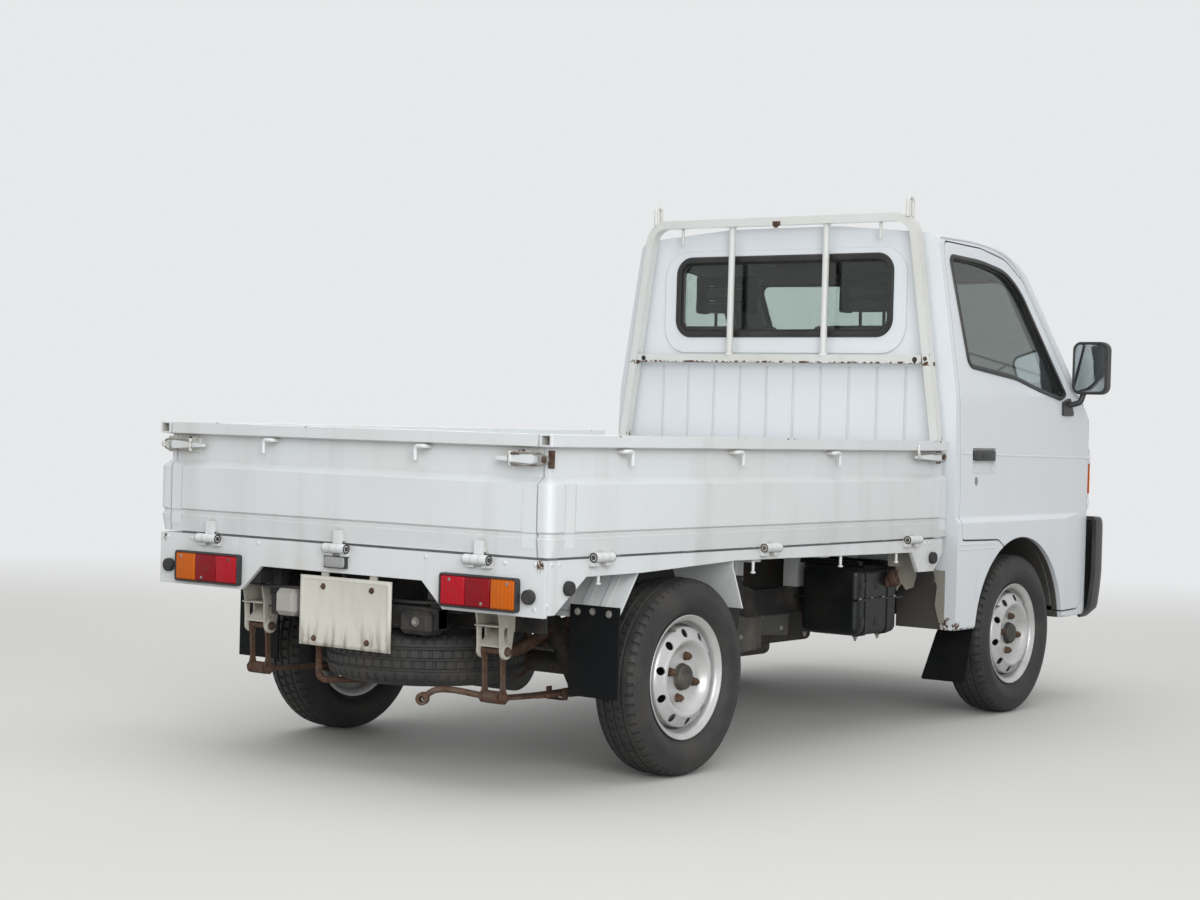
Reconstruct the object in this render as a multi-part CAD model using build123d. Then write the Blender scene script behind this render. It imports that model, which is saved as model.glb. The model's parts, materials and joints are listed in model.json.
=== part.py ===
from build123d import *
import os

# Kei truck: a small cab-over pickup with a drop-side bed.
# Millimetres. +X forward, +Y to the truck's left, +Z up, ground at Z = 0.
# The origin is on the ground, below the middle of the overall box.

# Overall
wheelbase = 1905.0
rear_overhang = 657.0        # rear axle to the tailgate's outer face
nose_reach = 684.8           # front axle to the middle of the nose
bumper_proud = 20.7
track_front = 1205.0
track_rear = 1200.0
running_gap = 5.0            # between moving panels and what is beside them
seat_gap = 0.3               # between pieces that are seated on each other

# Wheels
tyre_diameter = 530.0
tyre_width = 147.0
rim_radius = 152.0           # bead seat
rim_lip = 167.0
rim_half_width = 54.0
rim_sheet = 5.0
hub_hole = 30.0
nut_circle = 114.3
nut_count = 4
vent_count = 10
vent_circle = 206.0
vent_radius = 10.5
hub_seat = 3.0               # hub's inner face, outside the wheel's middle plane

# Bed
bed_half_width = 697.0
gate_thickness = 42.0
gate_height = 294.0
floor_top = 612.0
floor_sheet = 10.0
panel_ledge = 4.0
bed_to_cab = 100.0           # side gates' front ends to the cab's rear wall
bearer_height = 42.0
bearer_width = 46.0
sill_thickness = 12.0
sill_step = 12.0             # side sill's outer face, inboard of the gates
hinge_radius = 12.5
hinge_pin = 5.0
pin_clearance = 0.06
tail_hinge_offset = 15.0     # hinge pin outside the tailgate's face
side_hinge_offset = 3.0
hinge_drop = 14.0            # tailgate's hinge pin below the gate's foot
side_hinge_drop = 3.0
skirt_thickness = 12.0

# Frame
rail_inner = 300.0
rail_width = 50.0
rail_height = 80.0
tow_eye_radius = 10.0
tow_eye_plate = 12.0
tow_eye_z = 284.0

# Cab
cab_rear = -460.0            # from the front axle
cab_wall = 36.0
cab_floor = 303.0
cab_roof = 1622.0
roof_curve = 2600.0          # crown of the roof
front_curve = 2800.0         # plan radius of the nose
surround_proud = 4.0
arch_radius = 322.0
arch_wall = 12.0
arch_inner = 352.0
tunnel_half_width = 470.0
tunnel_top = 440.0
floor_plate = 14.0
glass_thickness = 5.0
glass_inset = 12.0
door_gap = 5.0
door_hinge_y = 661.0
door_knuckle = 6.0
door_pin = 3.0
door_hinges = [700.0, 860.0]
door_knuckle_half = 12.0

# Places that follow from these
rear_reach = tail_hinge_offset + hinge_radius
front_reach = wheelbase + nose_reach + bumper_proud
rear_axle_x = (rear_overhang + rear_reach - front_reach) / 2
front_axle_x = rear_axle_x + wheelbase
axle_z = tyre_diameter / 2
tail_x = rear_axle_x - rear_overhang
gate_foot = floor_top - 6.0
gate_top = gate_foot + gate_height + 6.0
gate_inner = bed_half_width - gate_thickness
sill_outer = bed_half_width - sill_step
floor_bottom = floor_top - floor_sheet
rail_top = floor_bottom - bearer_height
rail_outer = rail_inner + rail_width
cab_back = front_axle_x + cab_rear
bed_front = cab_back - bed_to_cab
tow_eye_x = front_axle_x + 505.0
door_hinge_x = front_axle_x + 550.0


def ahead(x):
    # X of a place that is given ahead of the rear axle
    return rear_axle_x + x


def cab_at(x):
    # X of a place that is given ahead of the front axle
    return front_axle_x + x


def outline(points, radius=0.0):
    # closed face from corner points, with one radius or one per corner
    if isinstance(radius, list) or radius > 0:
        return make_face(FilletPolyline(*points, radius=radius, close=True))
    return make_face(Polyline(*points, close=True))


def along_x(face, start, end):
    # face drawn in (y, z)
    return extrude(Plane.YZ.offset(start) * face, end - start)


def along_y(face, start, end):
    # face drawn in (x, z)
    return extrude(Plane.XZ.offset(-end) * face, end - start)


def along_z(face, start, end):
    # face drawn in (x, y)
    return extrude(Plane.XY.offset(start) * face, end - start)


def block(x0, x1, y0, y1, z0, z1):
    centre = Pos((x0 + x1) / 2, (y0 + y1) / 2, (z0 + z1) / 2)
    return centre * Box(abs(x1 - x0), abs(y1 - y0), abs(z1 - z0))


def rod(start, end, radius):
    way = Vector(*end) - Vector(*start)
    seat = Plane(origin=start, z_dir=way)
    return seat * Cylinder(radius, way.length, align=(Align.CENTER, Align.CENTER, Align.MIN))


def bent_rod(points, radius, bend):
    path = FilletPolyline(*points, radius=bend)
    first = Vector(*points[1]) - Vector(*points[0])
    section = Plane(origin=points[0], z_dir=first) * Circle(radius)
    return sweep(section, path=path)


def other_side(part):
    return mirror(part, about=Plane.XZ)


def both_sides(part):
    return part + other_side(part)


def drawn_in(points, inset):
    # each edge of an anticlockwise polygon moved inwards by the inset
    moved = []
    count = len(points)
    for i in range(count):
        before = Vector(*points[i - 1])
        here = Vector(*points[i])
        after = Vector(*points[(i + 1) % count])
        way_in = (here - before).normalized()
        way_out = (after - here).normalized()
        normal_in = Vector(-way_in.Y, way_in.X)
        normal_out = Vector(-way_out.Y, way_out.X)
        bisector = normal_in + normal_out
        reach = 2 * inset / (bisector.X ** 2 + bisector.Y ** 2)
        moved.append((here.X + bisector.X * reach, here.Y + bisector.Y * reach))
    return moved


parts = {}

# Cab body. Three views bound it: the side profile, turned about a far upright
# axis so that windscreen and nose are bowed, the front view and the plan.
# Side profile at the centre line: ahead of the front axle, height, corner radius
cab_side = [
    (-705.0, cab_floor, 0.0),
    (630.0, cab_floor, 50.0),
    (685.0, 430.0, 90.0),
    (681.0, 780.0, 200.0),
    (651.0, 945.0, 80.0),
    (537.0, 1078.0, 60.0),
    (207.0, cab_roof - 128.0, 240.0),
    (-20.0, cab_roof - 48.0, 500.0),
    (-705.0, cab_roof - 2.0, 0.0),
]
# Front view, left half: half width, height, corner radius
cab_half_front = [
    (686.0, cab_floor - 4.0, 16.0),
    (686.0, 646.0, 8.0),
    (673.0, 662.0, 8.0),
    (665.0, 1050.0, 400.0),
    (583.0, cab_roof - 52.0, 46.0),
]
# Plan, left half: ahead of the front axle, half width, corner radius
cab_half_plan = [
    (245.0, 694.0, 600.0),
    (557.0, 664.0, 110.0),
    (655.0, 560.0, 110.0),
]


def front_view(inset):
    front = [(y, z) for y, z, r in cab_half_front]
    front_radii = [r for y, z, r in cab_half_front]
    front.append((0.0, cab_roof))
    front_radii.append(roof_curve)
    front += [(-y, z) for y, z, r in reversed(cab_half_front)]
    front_radii += [r for y, z, r in reversed(cab_half_front)]
    return outline(drawn_in(front, inset), [max(r - inset, 4.0) for r in front_radii])


def cab_body(inset, rear_inset=None):
    if rear_inset is None:
        rear_inset = inset
    side = [(cab_at(x), z) for x, z, r in cab_side]
    side_radii = [max(r - inset, 4.0) if r > 0 else 0.0 for x, z, r in cab_side]
    profile = outline(drawn_in(side, inset), side_radii)
    turn_axis = Axis((cab_at(685) - front_curve, 0, 0), (0, 0, 1))
    swept = revolve(Plane.XZ * profile, turn_axis, 52).rotate(turn_axis, -26)

    lengthwise = along_x(front_view(inset), cab_back + rear_inset, cab_at(795))

    plan = [(cab_back - 100, -694.0)]
    plan_radii = [0.0]
    for x, y, r in cab_half_plan:
        plan.append((cab_at(x), -y))
        plan_radii.append(r)
    plan.append((cab_at(855), 0.0))
    plan_radii.append(0.0)
    for x, y, r in reversed(cab_half_plan):
        plan.append((cab_at(x), y))
        plan_radii.append(r)
    plan.append((cab_back - 100, 694.0))
    plan_radii.append(0.0)
    plan_radii = [max(r - inset, 4.0) if r > 0 else 0.0 for r in plan_radii]
    upright = along_z(outline(drawn_in(plan, inset), plan_radii), 0, 2000)
    return swept & lengthwise & upright


cab_outer = cab_body(0.0)
# The rear wall is pressed out round its window, and ribbed below it
surround_low = cab_roof - 438.0
surround_height = 346.0
surround = Pos(0, surround_low + surround_height / 2) * RectangleRounded(954, surround_height, 90)
cab_outer += along_x(surround, cab_back - surround_proud, cab_back + 1)
for y in (53.0, 160.0, 267.0, 374.0, 480.0):
    cab_outer -= both_sides(block(cab_back - 1, cab_back + 3, y - 4, y + 4, 650, 1140))
cab_inner = cab_body(cab_wall)

# Wheel arches
arch_x = cab_at(-8)
arch_z = 268.0
arch_face = Pos(arch_x, arch_z) * Circle(arch_radius)
arch_cut = both_sides(along_y(arch_face, arch_inner, 800))
arch_shell_face = Pos(arch_x, arch_z) * Circle(arch_radius + arch_wall)
arch_shell = both_sides(along_y(arch_shell_face, arch_inner - arch_wall, 660))

# Door outline: ahead of the front axle, height, corner radius
door_points = [
    (-427.0, cab_roof - 76.0, 30.0),
    (-431.0, 1050.0, 200.0),
    (-419.0, 726.0, 60.0),
    (-433.0, 659.0, 30.0),
    (-425.0, 592.0, 12.0),
    (-177.0, 588.0, 60.0),
    (-115.0, 552.0, 0.0),
    (0.0, 420.0, 0.0),
    (275.0, 328.0, 0.0),
    (469.0, 328.0, 24.0),
    (527.0, 430.0, 90.0),
    (545.0, 900.0, 90.0),
    (517.0, 1015.0, 30.0),
    (395.0, 1088.0, 30.0),
    (107.0, cab_roof - 170.0, 60.0),
    (-5.0, cab_roof - 108.0, 150.0),
    (-175.0, cab_roof - 82.0, 200.0),
]
# Door window: the edge of its rubber
window_points = [
    (-408.0, cab_roof - 112.0, 26.0),
    (-356.0, 1142.0, 28.0),
    (-26.0, 1112.0, 300.0),
    (145.0, 1076.0, 200.0),
    (301.0, 1050.0, 20.0),
    (353.0, 1070.0, 8.0),
    (77.0, cab_roof - 196.0, 60.0),
    (-21.0, cab_roof - 140.0, 120.0),
    (-188.0, cab_roof - 118.0, 300.0),
]
rubber_width = 12.0


def side_face(table, inset=0.0):
    points = [(cab_at(x), z) for x, z, r in table]
    radii = [r for x, z, r in table]
    return outline(drawn_in(points, inset), radii)


door_opening = side_face(door_points, -door_gap)
door_shape = side_face(door_points)
window_hole = side_face(window_points, rubber_width)
window_glass = side_face(window_points, rubber_width + seat_gap)

# The opening is as deep as the side's wall, and leans in with it
door_inner = 686.0 - cab_wall
door_reach = 540.0           # how far in the leaning top of the door comes
inside_view = along_x(front_view(cab_wall + running_gap), cab_back - 10, cab_at(800))
door_cut = both_sides(along_y(door_opening, door_reach - running_gap, 800) - inside_view)

# Windscreen and rear window, in (y, z)
screen_high = cab_roof - 156.0
screen_points = [(-556.0, 1106.0), (556.0, 1106.0), (506.0, screen_high), (-506.0, screen_high)]
screen_hole = along_x(outline(screen_points, 50.0), cab_at(-5), cab_at(795))
rear_window_half = 418.0
rear_window_low = cab_roof - 374.0
rear_window_high = cab_roof - 121.0
rear_window_mid = (rear_window_low + rear_window_high) / 2
rear_window_height = rear_window_high - rear_window_low


def rear_window_face(inset):
    width = 2 * (rear_window_half - inset)
    height = rear_window_height - 2 * inset
    return Pos(0, rear_window_mid) * RectangleRounded(width, height, 58 - inset)


rear_hole = along_x(rear_window_face(0.0), cab_back - 50, cab_back + 100)

# Cab shell: outer body less the room inside, the tunnel below and the openings
seat_box = block(cab_back, cab_at(-25), -600, 600, tunnel_top, 640)
tunnel = block(cab_at(-605), cab_at(575), -tunnel_half_width, tunnel_half_width, 200, tunnel_top)
tunnel_cover = block(
    cab_at(-605), cab_at(575 + floor_plate),
    -tunnel_half_width - floor_plate, tunnel_half_width + floor_plate,
    200, tunnel_top + floor_plate,
)
room = cab_inner - arch_shell - tunnel_cover - seat_box
cab_shell = cab_outer - room - tunnel - arch_cut - door_cut - screen_hole - rear_hole
# Door hinges: a pin across a pocket in the pillar, and a knuckle on the door's edge
door_knuckles = Part()
for z in door_hinges:
    low = z - door_knuckle_half
    high = z + door_knuckle_half
    cab_shell -= both_sides(block(
        door_hinge_x - 20, door_hinge_x + door_knuckle + running_gap, door_hinge_y - 13, 800,
        low - running_gap, high + running_gap))
    cab_shell += both_sides(rod(
        (door_hinge_x, door_hinge_y, low - 15), (door_hinge_x, door_hinge_y, high + 15), door_pin))
    door_knuckles += block(door_hinge_x - 20, door_hinge_x, door_hinge_y - 6, door_hinge_y, low, high)
    door_knuckles += rod((door_hinge_x, door_hinge_y, low), (door_hinge_x, door_hinge_y, high), door_knuckle)
door_bore = rod((door_hinge_x, door_hinge_y, 600), (door_hinge_x, door_hinge_y, 1000), door_pin + pin_clearance)
parts["cab_shell"] = cab_shell

side_room = along_x(front_view(cab_wall), cab_back - 10, cab_at(800))
side_room += block(cab_at(-605), cab_at(595), 0, door_inner, 200, 400)
door_wall = (cab_outer & along_y(door_shape, door_reach, 800)) - side_room
door_left = door_wall - along_y(window_hole, 400, 800) - along_y(arch_face, 400, 800)

# Door handle in its recess, on the outer skin
handle_x = cab_at(-263)
handle_z = 842.0
recess = block(handle_x - 80, handle_x + 80, 655, 800, handle_z - 40, handle_z + 42)
handle = block(handle_x - 72, handle_x + 72, 650, 671, handle_z, handle_z + 34)
door_left = door_left - recess + handle + (door_knuckles - door_bore)

glass_wall = cab_body(glass_inset) - cab_body(glass_inset + glass_thickness)
door_glass = glass_wall & along_y(window_glass, 400, 800)
parts["door_left"] = door_left
parts["door_right"] = other_side(door_left)
parts["door_left_glass"] = door_glass
parts["door_right_glass"] = other_side(door_glass)

screen_inner = drawn_in(screen_points, 1.0)
screen_prism = along_x(outline(screen_inner, 49.0), cab_at(-5), cab_at(795))
parts["windscreen"] = glass_wall & screen_prism
rear_glass_x = cab_back + glass_inset
parts["rear_window"] = along_x(rear_window_face(seat_gap), rear_glass_x, rear_glass_x + glass_thickness)

# Mirror: rounded head on an arm from the foot of the door's window
mirror_x = cab_at(380)
mirror_head = Pos(mirror_x, 743, 1167) * Box(44, 130, 182)
mirror_head = fillet(mirror_head.edges().filter_by(Axis.X), 30)
mirror_head = fillet(mirror_head.faces().sort_by(Axis.X)[-1].edges(), 18)
mirror_arm = bent_rod(
    [(cab_at(357), 660, 1034), (cab_at(370), 706, 1048), (mirror_x, 718, 1096)], 10, 18)
mirror_foot = along_y(
    outline([(cab_at(310), 1000), (cab_at(395), 1000), (cab_at(363), 1062), (cab_at(310), 1046)], 8),
    640, 674)
side_mirror = mirror_head + mirror_arm + mirror_foot - cab_body(-seat_gap, 0.0)
parts["door_left_mirror"] = side_mirror
parts["door_right_mirror"] = other_side(side_mirror)

# Front bumper: a band around the nose
bumper_face = outline([
    (cab_at(561), 640), (cab_at(561), 420), (cab_at(587), 292),
    (cab_at(795), 292), (cab_at(795), 556), (cab_at(655), 560), (cab_at(595), 640)])
bumper = (cab_body(-bumper_proud, 0.0) - cab_body(-seat_gap, 0.0)) & along_y(bumper_face, -800, 800)
parts["front_bumper"] = bumper

# Headlamps and front corner indicators follow the nose's surface
lamp_skin = cab_body(-7.0, 0.0) - cab_body(-seat_gap, 0.0)
headlamp_face = outline([(330, 655), (540, 655), (548, 800), (330, 792)], 14)
headlamps = both_sides(lamp_skin & along_x(headlamp_face, cab_at(575), cab_at(795)))
parts["headlamps"] = headlamps
corner_lamp_side = outline([(cab_at(559), 728), (cab_at(795), 728), (cab_at(795), 842), (cab_at(563), 842)])
corner_lamp = lamp_skin & along_y(corner_lamp_side, 556, 800)

# Tyres and rims, turned about Y. Half sections in (offset from mid plane, radius)
tyre_radius = tyre_diameter / 2
tyre_half = tyre_width / 2
tyre_shoulder = [
    (rim_half_width - 4, rim_radius), (rim_half_width - 4, rim_lip + 4), (rim_half_width + 6, rim_lip + 12),
    (tyre_half - 4, rim_lip + 23), (tyre_half, rim_lip + 36), (tyre_half - 2, rim_lip + 51),
    (tyre_half - 8, tyre_radius - 31), (tyre_half - 15, tyre_radius - 15), (tyre_half - 22, tyre_radius - 6),
    (tyre_half - 30, tyre_radius - 3), (24.0, tyre_radius - 1), (0.0, tyre_radius),
]
# Rim and disc as one pressed section, outer surface then inner
barrel = [
    (-rim_half_width, rim_lip), (-rim_half_width + 3.9, rim_lip), (-rim_half_width + 3.9, rim_radius - seat_gap),
    (-26.0, rim_radius - seat_gap), (-20.0, 134.0), (18.0, 134.0), (26.0, rim_radius - seat_gap),
    (rim_half_width - 3.9, rim_radius - seat_gap), (rim_half_width - 3.9, rim_lip), (rim_half_width, rim_lip),
    (rim_half_width, rim_radius - rim_sheet), (30.0, rim_radius - rim_sheet), (22.0, 129.0),
    (-24.0, 129.0), (-30.0, rim_radius - rim_sheet), (-rim_half_width, rim_radius - rim_sheet),
]
disc = [
    (-8.0, 129.5), (14.0, 112.0), (30.0, 92.0), (28.0, 78.0), (16.0, 70.0), (16.0, hub_hole),
    (10.0, hub_hole), (10.0, 72.0), (22.0, 81.0), (22.0, 90.0), (8.0, 107.0), (-14.0, 123.0), (-14.0, 129.5),
]


def turned(points):
    # section in (offset along Y, radius), turned a full round about the Y axis
    face = outline([(r, a) for a, r in points])
    return revolve(face, Axis.Y, 360)


def make_tyre():
    far_side = [(-a, d) for a, d in reversed(tyre_shoulder[:-1])]
    return turned(tyre_shoulder + far_side)


def make_rim():
    # its dished side faces +Y
    rim = turned(barrel) + turned(disc)
    for i in range(vent_count):
        angle = 360 / vent_count * i
        hole = Rot(0, angle, 0) * Pos(vent_circle / 2, 0, 0) * Rot(90, 0, 0) * Cylinder(vent_radius, 120)
        rim -= hole
    for i in range(nut_count):
        angle = 360 / nut_count * i + 45
        nut = Rot(0, angle, 0) * Pos(nut_circle / 2, 20, 0) * Rot(90, 0, 0) * Cylinder(10, 24)
        rim += nut
    cap = Pos(0, hub_seat + 17, 0) * Rot(90, 0, 0) * Cylinder(hub_hole, 34)
    return rim + cap


tyre = make_tyre()
rim = make_rim()
# name, X, track
wheel_table = [
    ("rear", rear_axle_x, track_rear),
    ("front", front_axle_x, track_front),
]
for name, x, track in wheel_table:
    place = Pos(x, track / 2, axle_z)
    parts["tyre_" + name + "_left"] = place * tyre
    parts["rim_" + name + "_left"] = place * rim
    parts["tyre_" + name + "_right"] = other_side(place * tyre)
    parts["rim_" + name + "_right"] = other_side(place * rim)

# Spare wheel, flat under the tail
spare_x = ahead(-368.0)
spare_y = -55.0
spare_z = 314.0
spare_seat = Pos(spare_x, spare_y, spare_z) * Rot(-90, 0, 0)
spare_rim = turned(barrel) + turned(disc[:5] + [(16.0, 0.0), (10.0, 0.0)] + disc[7:])
parts["spare_wheel"] = spare_seat * tyre
parts["spare_rim"] = spare_seat * spare_rim

# Frame rails: high under the bed, lower under the cab
low_rail_top = tunnel_top
bend_start = 360.0
bend_end = 790.0
rail_side = outline([
    (tail_x + skirt_thickness, rail_top), (tail_x + skirt_thickness, rail_top - rail_height),
    (ahead(bend_start - 30), rail_top - rail_height), (ahead(bend_end - 30), low_rail_top - rail_height),
    (cab_at(535), low_rail_top - rail_height), (cab_at(535), low_rail_top),
    (ahead(bend_end), low_rail_top), (ahead(bend_start), rail_top)])
frame_rails = both_sides(along_y(rail_side, rail_inner, rail_outer))
# Towing eye: a plate on the right rail's inner face, hanging below the cab
tow_lug = along_y(
    outline([
        (tow_eye_x - 30, low_rail_top - 20), (tow_eye_x - 30, tow_eye_z + 10), (tow_eye_x - 16, tow_eye_z - 24),
        (tow_eye_x + 16, tow_eye_z - 24), (tow_eye_x + 28, tow_eye_z + 10), (tow_eye_x + 28, low_rail_top - 20)], 5),
    -rail_inner, -rail_inner + tow_eye_plate)
tow_hole = rod((tow_eye_x, -rail_outer, tow_eye_z), (tow_eye_x, 0, tow_eye_z), tow_eye_radius)
frame_rails += tow_lug - tow_hole
parts["frame_rails"] = frame_rails

# Bed floor on cross bearers, with a lower ledge in front for the panel and the guard
floor_front = cab_back - 9
floor_rear = tail_x + gate_thickness + running_gap
floor_half = gate_inner - running_gap
panel_x = cab_back - 67.0
panel_foot = floor_top - panel_ledge
bed_floor = block(floor_rear, panel_x - 1, -floor_half, floor_half, floor_bottom, floor_top)
bed_floor += block(panel_x - 1, floor_front, -floor_half, floor_half, floor_bottom, panel_foot)
bearer_places = [ahead(x) for x in (-585.0, -330.0, 0.0, 330.0, 700.0, 1050.0)]
bearer_places.append(cab_back - 73.0)
for x in bearer_places:
    rear = x - bearer_width / 2
    front = x + bearer_width / 2
    bed_floor += block(rear, front, -floor_half, floor_half, rail_top, floor_bottom)
    sunk = (rear - ahead(bend_start)) / (bend_end - bend_start)
    foot = rail_top - min(max(sunk, 0.0), 1.0) * (rail_top - low_rail_top)
    if foot < rail_top:
        bed_floor += both_sides(block(rear, front, rail_inner, rail_outer, foot, rail_top))
parts["bed_floor"] = bed_floor

# Cross members between the rails
cross_places = [
    (ahead(-66), rail_top - 70), (ahead(140), rail_top - 70), (ahead(450), 455.0),
    (cab_at(-445), 370.0), (cab_at(435), 370.0)]
crossmembers = []
for x, low in cross_places:
    crossmembers.append(block(x - 25, x + 25, -rail_inner, rail_inner, low, low + 55))
parts["crossmembers"] = Compound(children=crossmembers)

# Side sills under the side gates, with the rear corner plates
sill_side = outline([
    (tail_x, floor_bottom - 2), (tail_x, 466), (ahead(-616), 466), (ahead(-491), 555), (ahead(-257), 556),
    (ahead(180), 572), (ahead(490), 569), (bed_front - 195, 562), (bed_front - 152, 500), (bed_front - 54, 500),
    (bed_front, 556), (bed_front, floor_bottom - 2)])
sill = along_y(sill_side, sill_outer - sill_thickness, sill_outer)
sill += block(tail_x + skirt_thickness, bed_front, floor_half + seat_gap, sill_outer, 588, floor_bottom - 2)

# Rear skirt under the tailgate, cut out in the middle
skirt_bottom = 460.0
notch_half = 288.0
notch_top = 527.0
skirt_face = outline([
    (-sill_outer, floor_bottom - 2), (-sill_outer, skirt_bottom), (-360, skirt_bottom),
    (-notch_half, notch_top), (notch_half, notch_top), (360, skirt_bottom),
    (sill_outer, skirt_bottom), (sill_outer, floor_bottom - 2)])
rear_skirt = along_x(skirt_face, tail_x, tail_x + skirt_thickness)

# Hinges: two fixed knuckles with a pin, and a moving one between them
knuckle_length = 25.0
knuckle_gap = 1.0


def hinge_pieces(centre, way, length=knuckle_length):
    # centre on the pin's axis; way is the unit direction of the axis
    fixed = []
    for side in (-1, 1):
        start = Vector(*centre) + Vector(*way) * (side * (length / 2 + knuckle_gap))
        end = start + Vector(*way) * (side * length)
        fixed.append(rod(start, end, hinge_radius))
    first = Vector(*centre) - Vector(*way) * (length / 2 + knuckle_gap)
    last = Vector(*centre) + Vector(*way) * (length / 2 + knuckle_gap)
    fixed.append(rod(first, last, hinge_pin))
    moving_start = Vector(*centre) - Vector(*way) * (length / 2)
    moving_end = Vector(*centre) + Vector(*way) * (length / 2)
    moving = rod(moving_start, moving_end, hinge_radius)
    bore = rod(moving_start, moving_end, hinge_pin + pin_clearance)
    return fixed, moving, bore


# Gate section: depth from the outer face, height
gate_section = [
    (0.0, gate_top), (0.0, gate_top - 30), (24.0, gate_top - 34), (24.0, gate_top - 104),
    (0.0, gate_top - 122), (0.0, gate_top - 238), (6.0, gate_top - 242), (6.0, gate_top - 250),
    (0.0, gate_top - 254), (8.0, gate_foot), (gate_thickness, gate_foot), (gate_thickness, gate_top),
]

field_end = 45.0             # plain end of a gate, beside its pressed field
field_depth = 4.0
field_top = gate_top - 118

# Tailgate
tail_half = gate_inner - running_gap
tailgate = along_y(outline([(tail_x + d, z) for d, z in gate_section]), -tail_half, tail_half)
tailgate -= both_sides(block(
    tail_x - 1, tail_x + field_depth, tail_half - field_end, tail_half + 1, gate_foot - 1, field_top))
tail_pin_x = tail_x - tail_hinge_offset
tail_pin_z = gate_foot - hinge_drop
tail_hinges = [-481.0, 0.0, 481.0]
for y in tail_hinges:
    fixed, moving, bore = hinge_pieces((tail_pin_x, y, tail_pin_z), (0, 1, 0))
    tailgate += moving
    left = y - knuckle_length / 2
    right = y + knuckle_length / 2
    tailgate += block(tail_pin_x + 2, tail_x - 2, left, right, tail_pin_z, gate_foot + 34)
    tailgate += block(tail_x - 2, tail_x + 10, left, right, gate_foot + 4, gate_foot + 34)
    tailgate -= bore
    for piece in fixed:
        rear_skirt += piece
    for side in (-1, 1):
        middle = y + side * (knuckle_length + knuckle_gap)
        rear_skirt += block(
            tail_pin_x + 3, tail_x + 1, middle - knuckle_length / 2, middle + knuckle_length / 2,
            tail_pin_z - 20, tail_pin_z)

# Rope hooks under the rails
hook_radius = 5.5


def rope_hook(at, out, along):
    # at: place on the recess face; out: unit direction away from the gate;
    # along: unit direction in which the rod bends before it drops
    start = Vector(*at)
    knee = start + Vector(*out) * 28
    elbow = knee + Vector(*along) * 30
    foot = elbow + Vector(0, 0, -36)
    return bent_rod([start, knee, elbow, foot], hook_radius, 10)


hook_z = gate_top - 40
for y in (-287.0, 257.0):
    tailgate += rope_hook((tail_x + 26, y, hook_z), (-1, 0, 0), (0, 1, 0))
latch_z = gate_top - 61
lever_face = outline([
    (524, latch_z - 5), (tail_half - 12, latch_z - 12), (tail_half - 4, latch_z - 8),
    (tail_half - 4, latch_z + 8), (tail_half - 12, latch_z + 12), (524, latch_z + 4)])
lever = along_x(lever_face, tail_x - 6, tail_x + 10)
lever += block(tail_x + 9, tail_x + 26, 560, 600, latch_z - 6, latch_z + 6)
tailgate += both_sides(lever)
parts["tailgate"] = tailgate

# Side gates, each with the rounded rear corner post
post_reach = 58.0
side_gate = along_x(
    outline([(bed_half_width - d, z) for d, z in gate_section]), tail_x + post_reach - 2, bed_front)
for start in (tail_x + post_reach, bed_front - field_end):
    side_gate -= block(
        start, start + field_end, bed_half_width - field_depth, bed_half_width + 1, gate_foot - 1, field_top)


def post_plan(depth, radius):
    # plan of the corner post at one depth behind the outer faces
    left = gate_inner + 2
    right = bed_half_width - depth
    return outline(
        [(tail_x + depth, left), (tail_x + post_reach, left), (tail_x + post_reach, right), (tail_x + depth, right)],
        [0.0, 0.0, 0.0, radius])


post_steps = gate_section[:-2]
for i in range(len(post_steps) - 1):
    upper_depth, upper_z = post_steps[i]
    lower_depth, lower_z = post_steps[i + 1]
    if upper_depth == lower_depth:
        radius = 3.0 if i == 0 else max(24.0 - upper_depth, 2.0)
        side_gate += along_z(post_plan(upper_depth, radius), lower_z, upper_z)
    else:
        lower_plan = Pos(0, 0, lower_z) * post_plan(lower_depth, max(24.0 - lower_depth, 2.0))
        upper_plan = Pos(0, 0, upper_z) * post_plan(upper_depth, max(24.0 - upper_depth, 2.0))
        side_gate += loft([lower_plan, upper_plan])
# Open end of the side rail's tube
side_gate -= block(tail_x - 1, tail_x + 34, gate_inner + 9, bed_half_width - 8, gate_top - 26, gate_top - 4)
side_pin_y = bed_half_width + side_hinge_offset
side_pin_z = gate_foot - side_hinge_drop
side_hinges = [ahead(-445), ahead(331), bed_front - 212]
for x in side_hinges:
    fixed, moving, bore = hinge_pieces((x, side_pin_y, side_pin_z), (1, 0, 0))
    for side in (-1, 1):
        middle = x + side * (knuckle_length + knuckle_gap)
        start = (middle - knuckle_length / 2 - 2, side_pin_y, side_pin_z)
        end = (middle + knuckle_length / 2 + 2, side_pin_y, side_pin_z)
        side_gate -= rod(start, end, hinge_radius + 2)
        sill += block(
            middle - knuckle_length / 2, middle + knuckle_length / 2, sill_outer - 1, side_pin_y,
            side_pin_z - 22, side_pin_z)
    side_gate += moving
    side_gate -= bore
    for piece in fixed:
        sill += piece
for x in (-359.0, 147.0, 654.0):
    side_gate += rope_hook((ahead(x), bed_half_width - 26, hook_z), (0, 1, 0), (1, 0, 0))
latch_front = bed_front - 54
side_lever = outline([
    (latch_front - 150, latch_z + 6), (latch_front - 8, latch_z - 2), (latch_front, latch_z + 2),
    (latch_front, latch_z + 18), (latch_front - 8, latch_z + 22), (latch_front - 150, latch_z + 14)])
side_gate += along_y(side_lever, bed_half_width - 8, bed_half_width + 6)
side_gate += block(
    latch_front - 90, latch_front - 50, bed_half_width - 26, bed_half_width - 7, latch_z + 3, latch_z + 15)
parts["side_gate_left"] = side_gate
parts["side_gate_right"] = other_side(side_gate)
parts["bed_sills"] = both_sides(sill - block(tail_x - 1, tail_x + skirt_thickness, 0, 800, 400, 700))
parts["rear_skirt"] = rear_skirt

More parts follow.
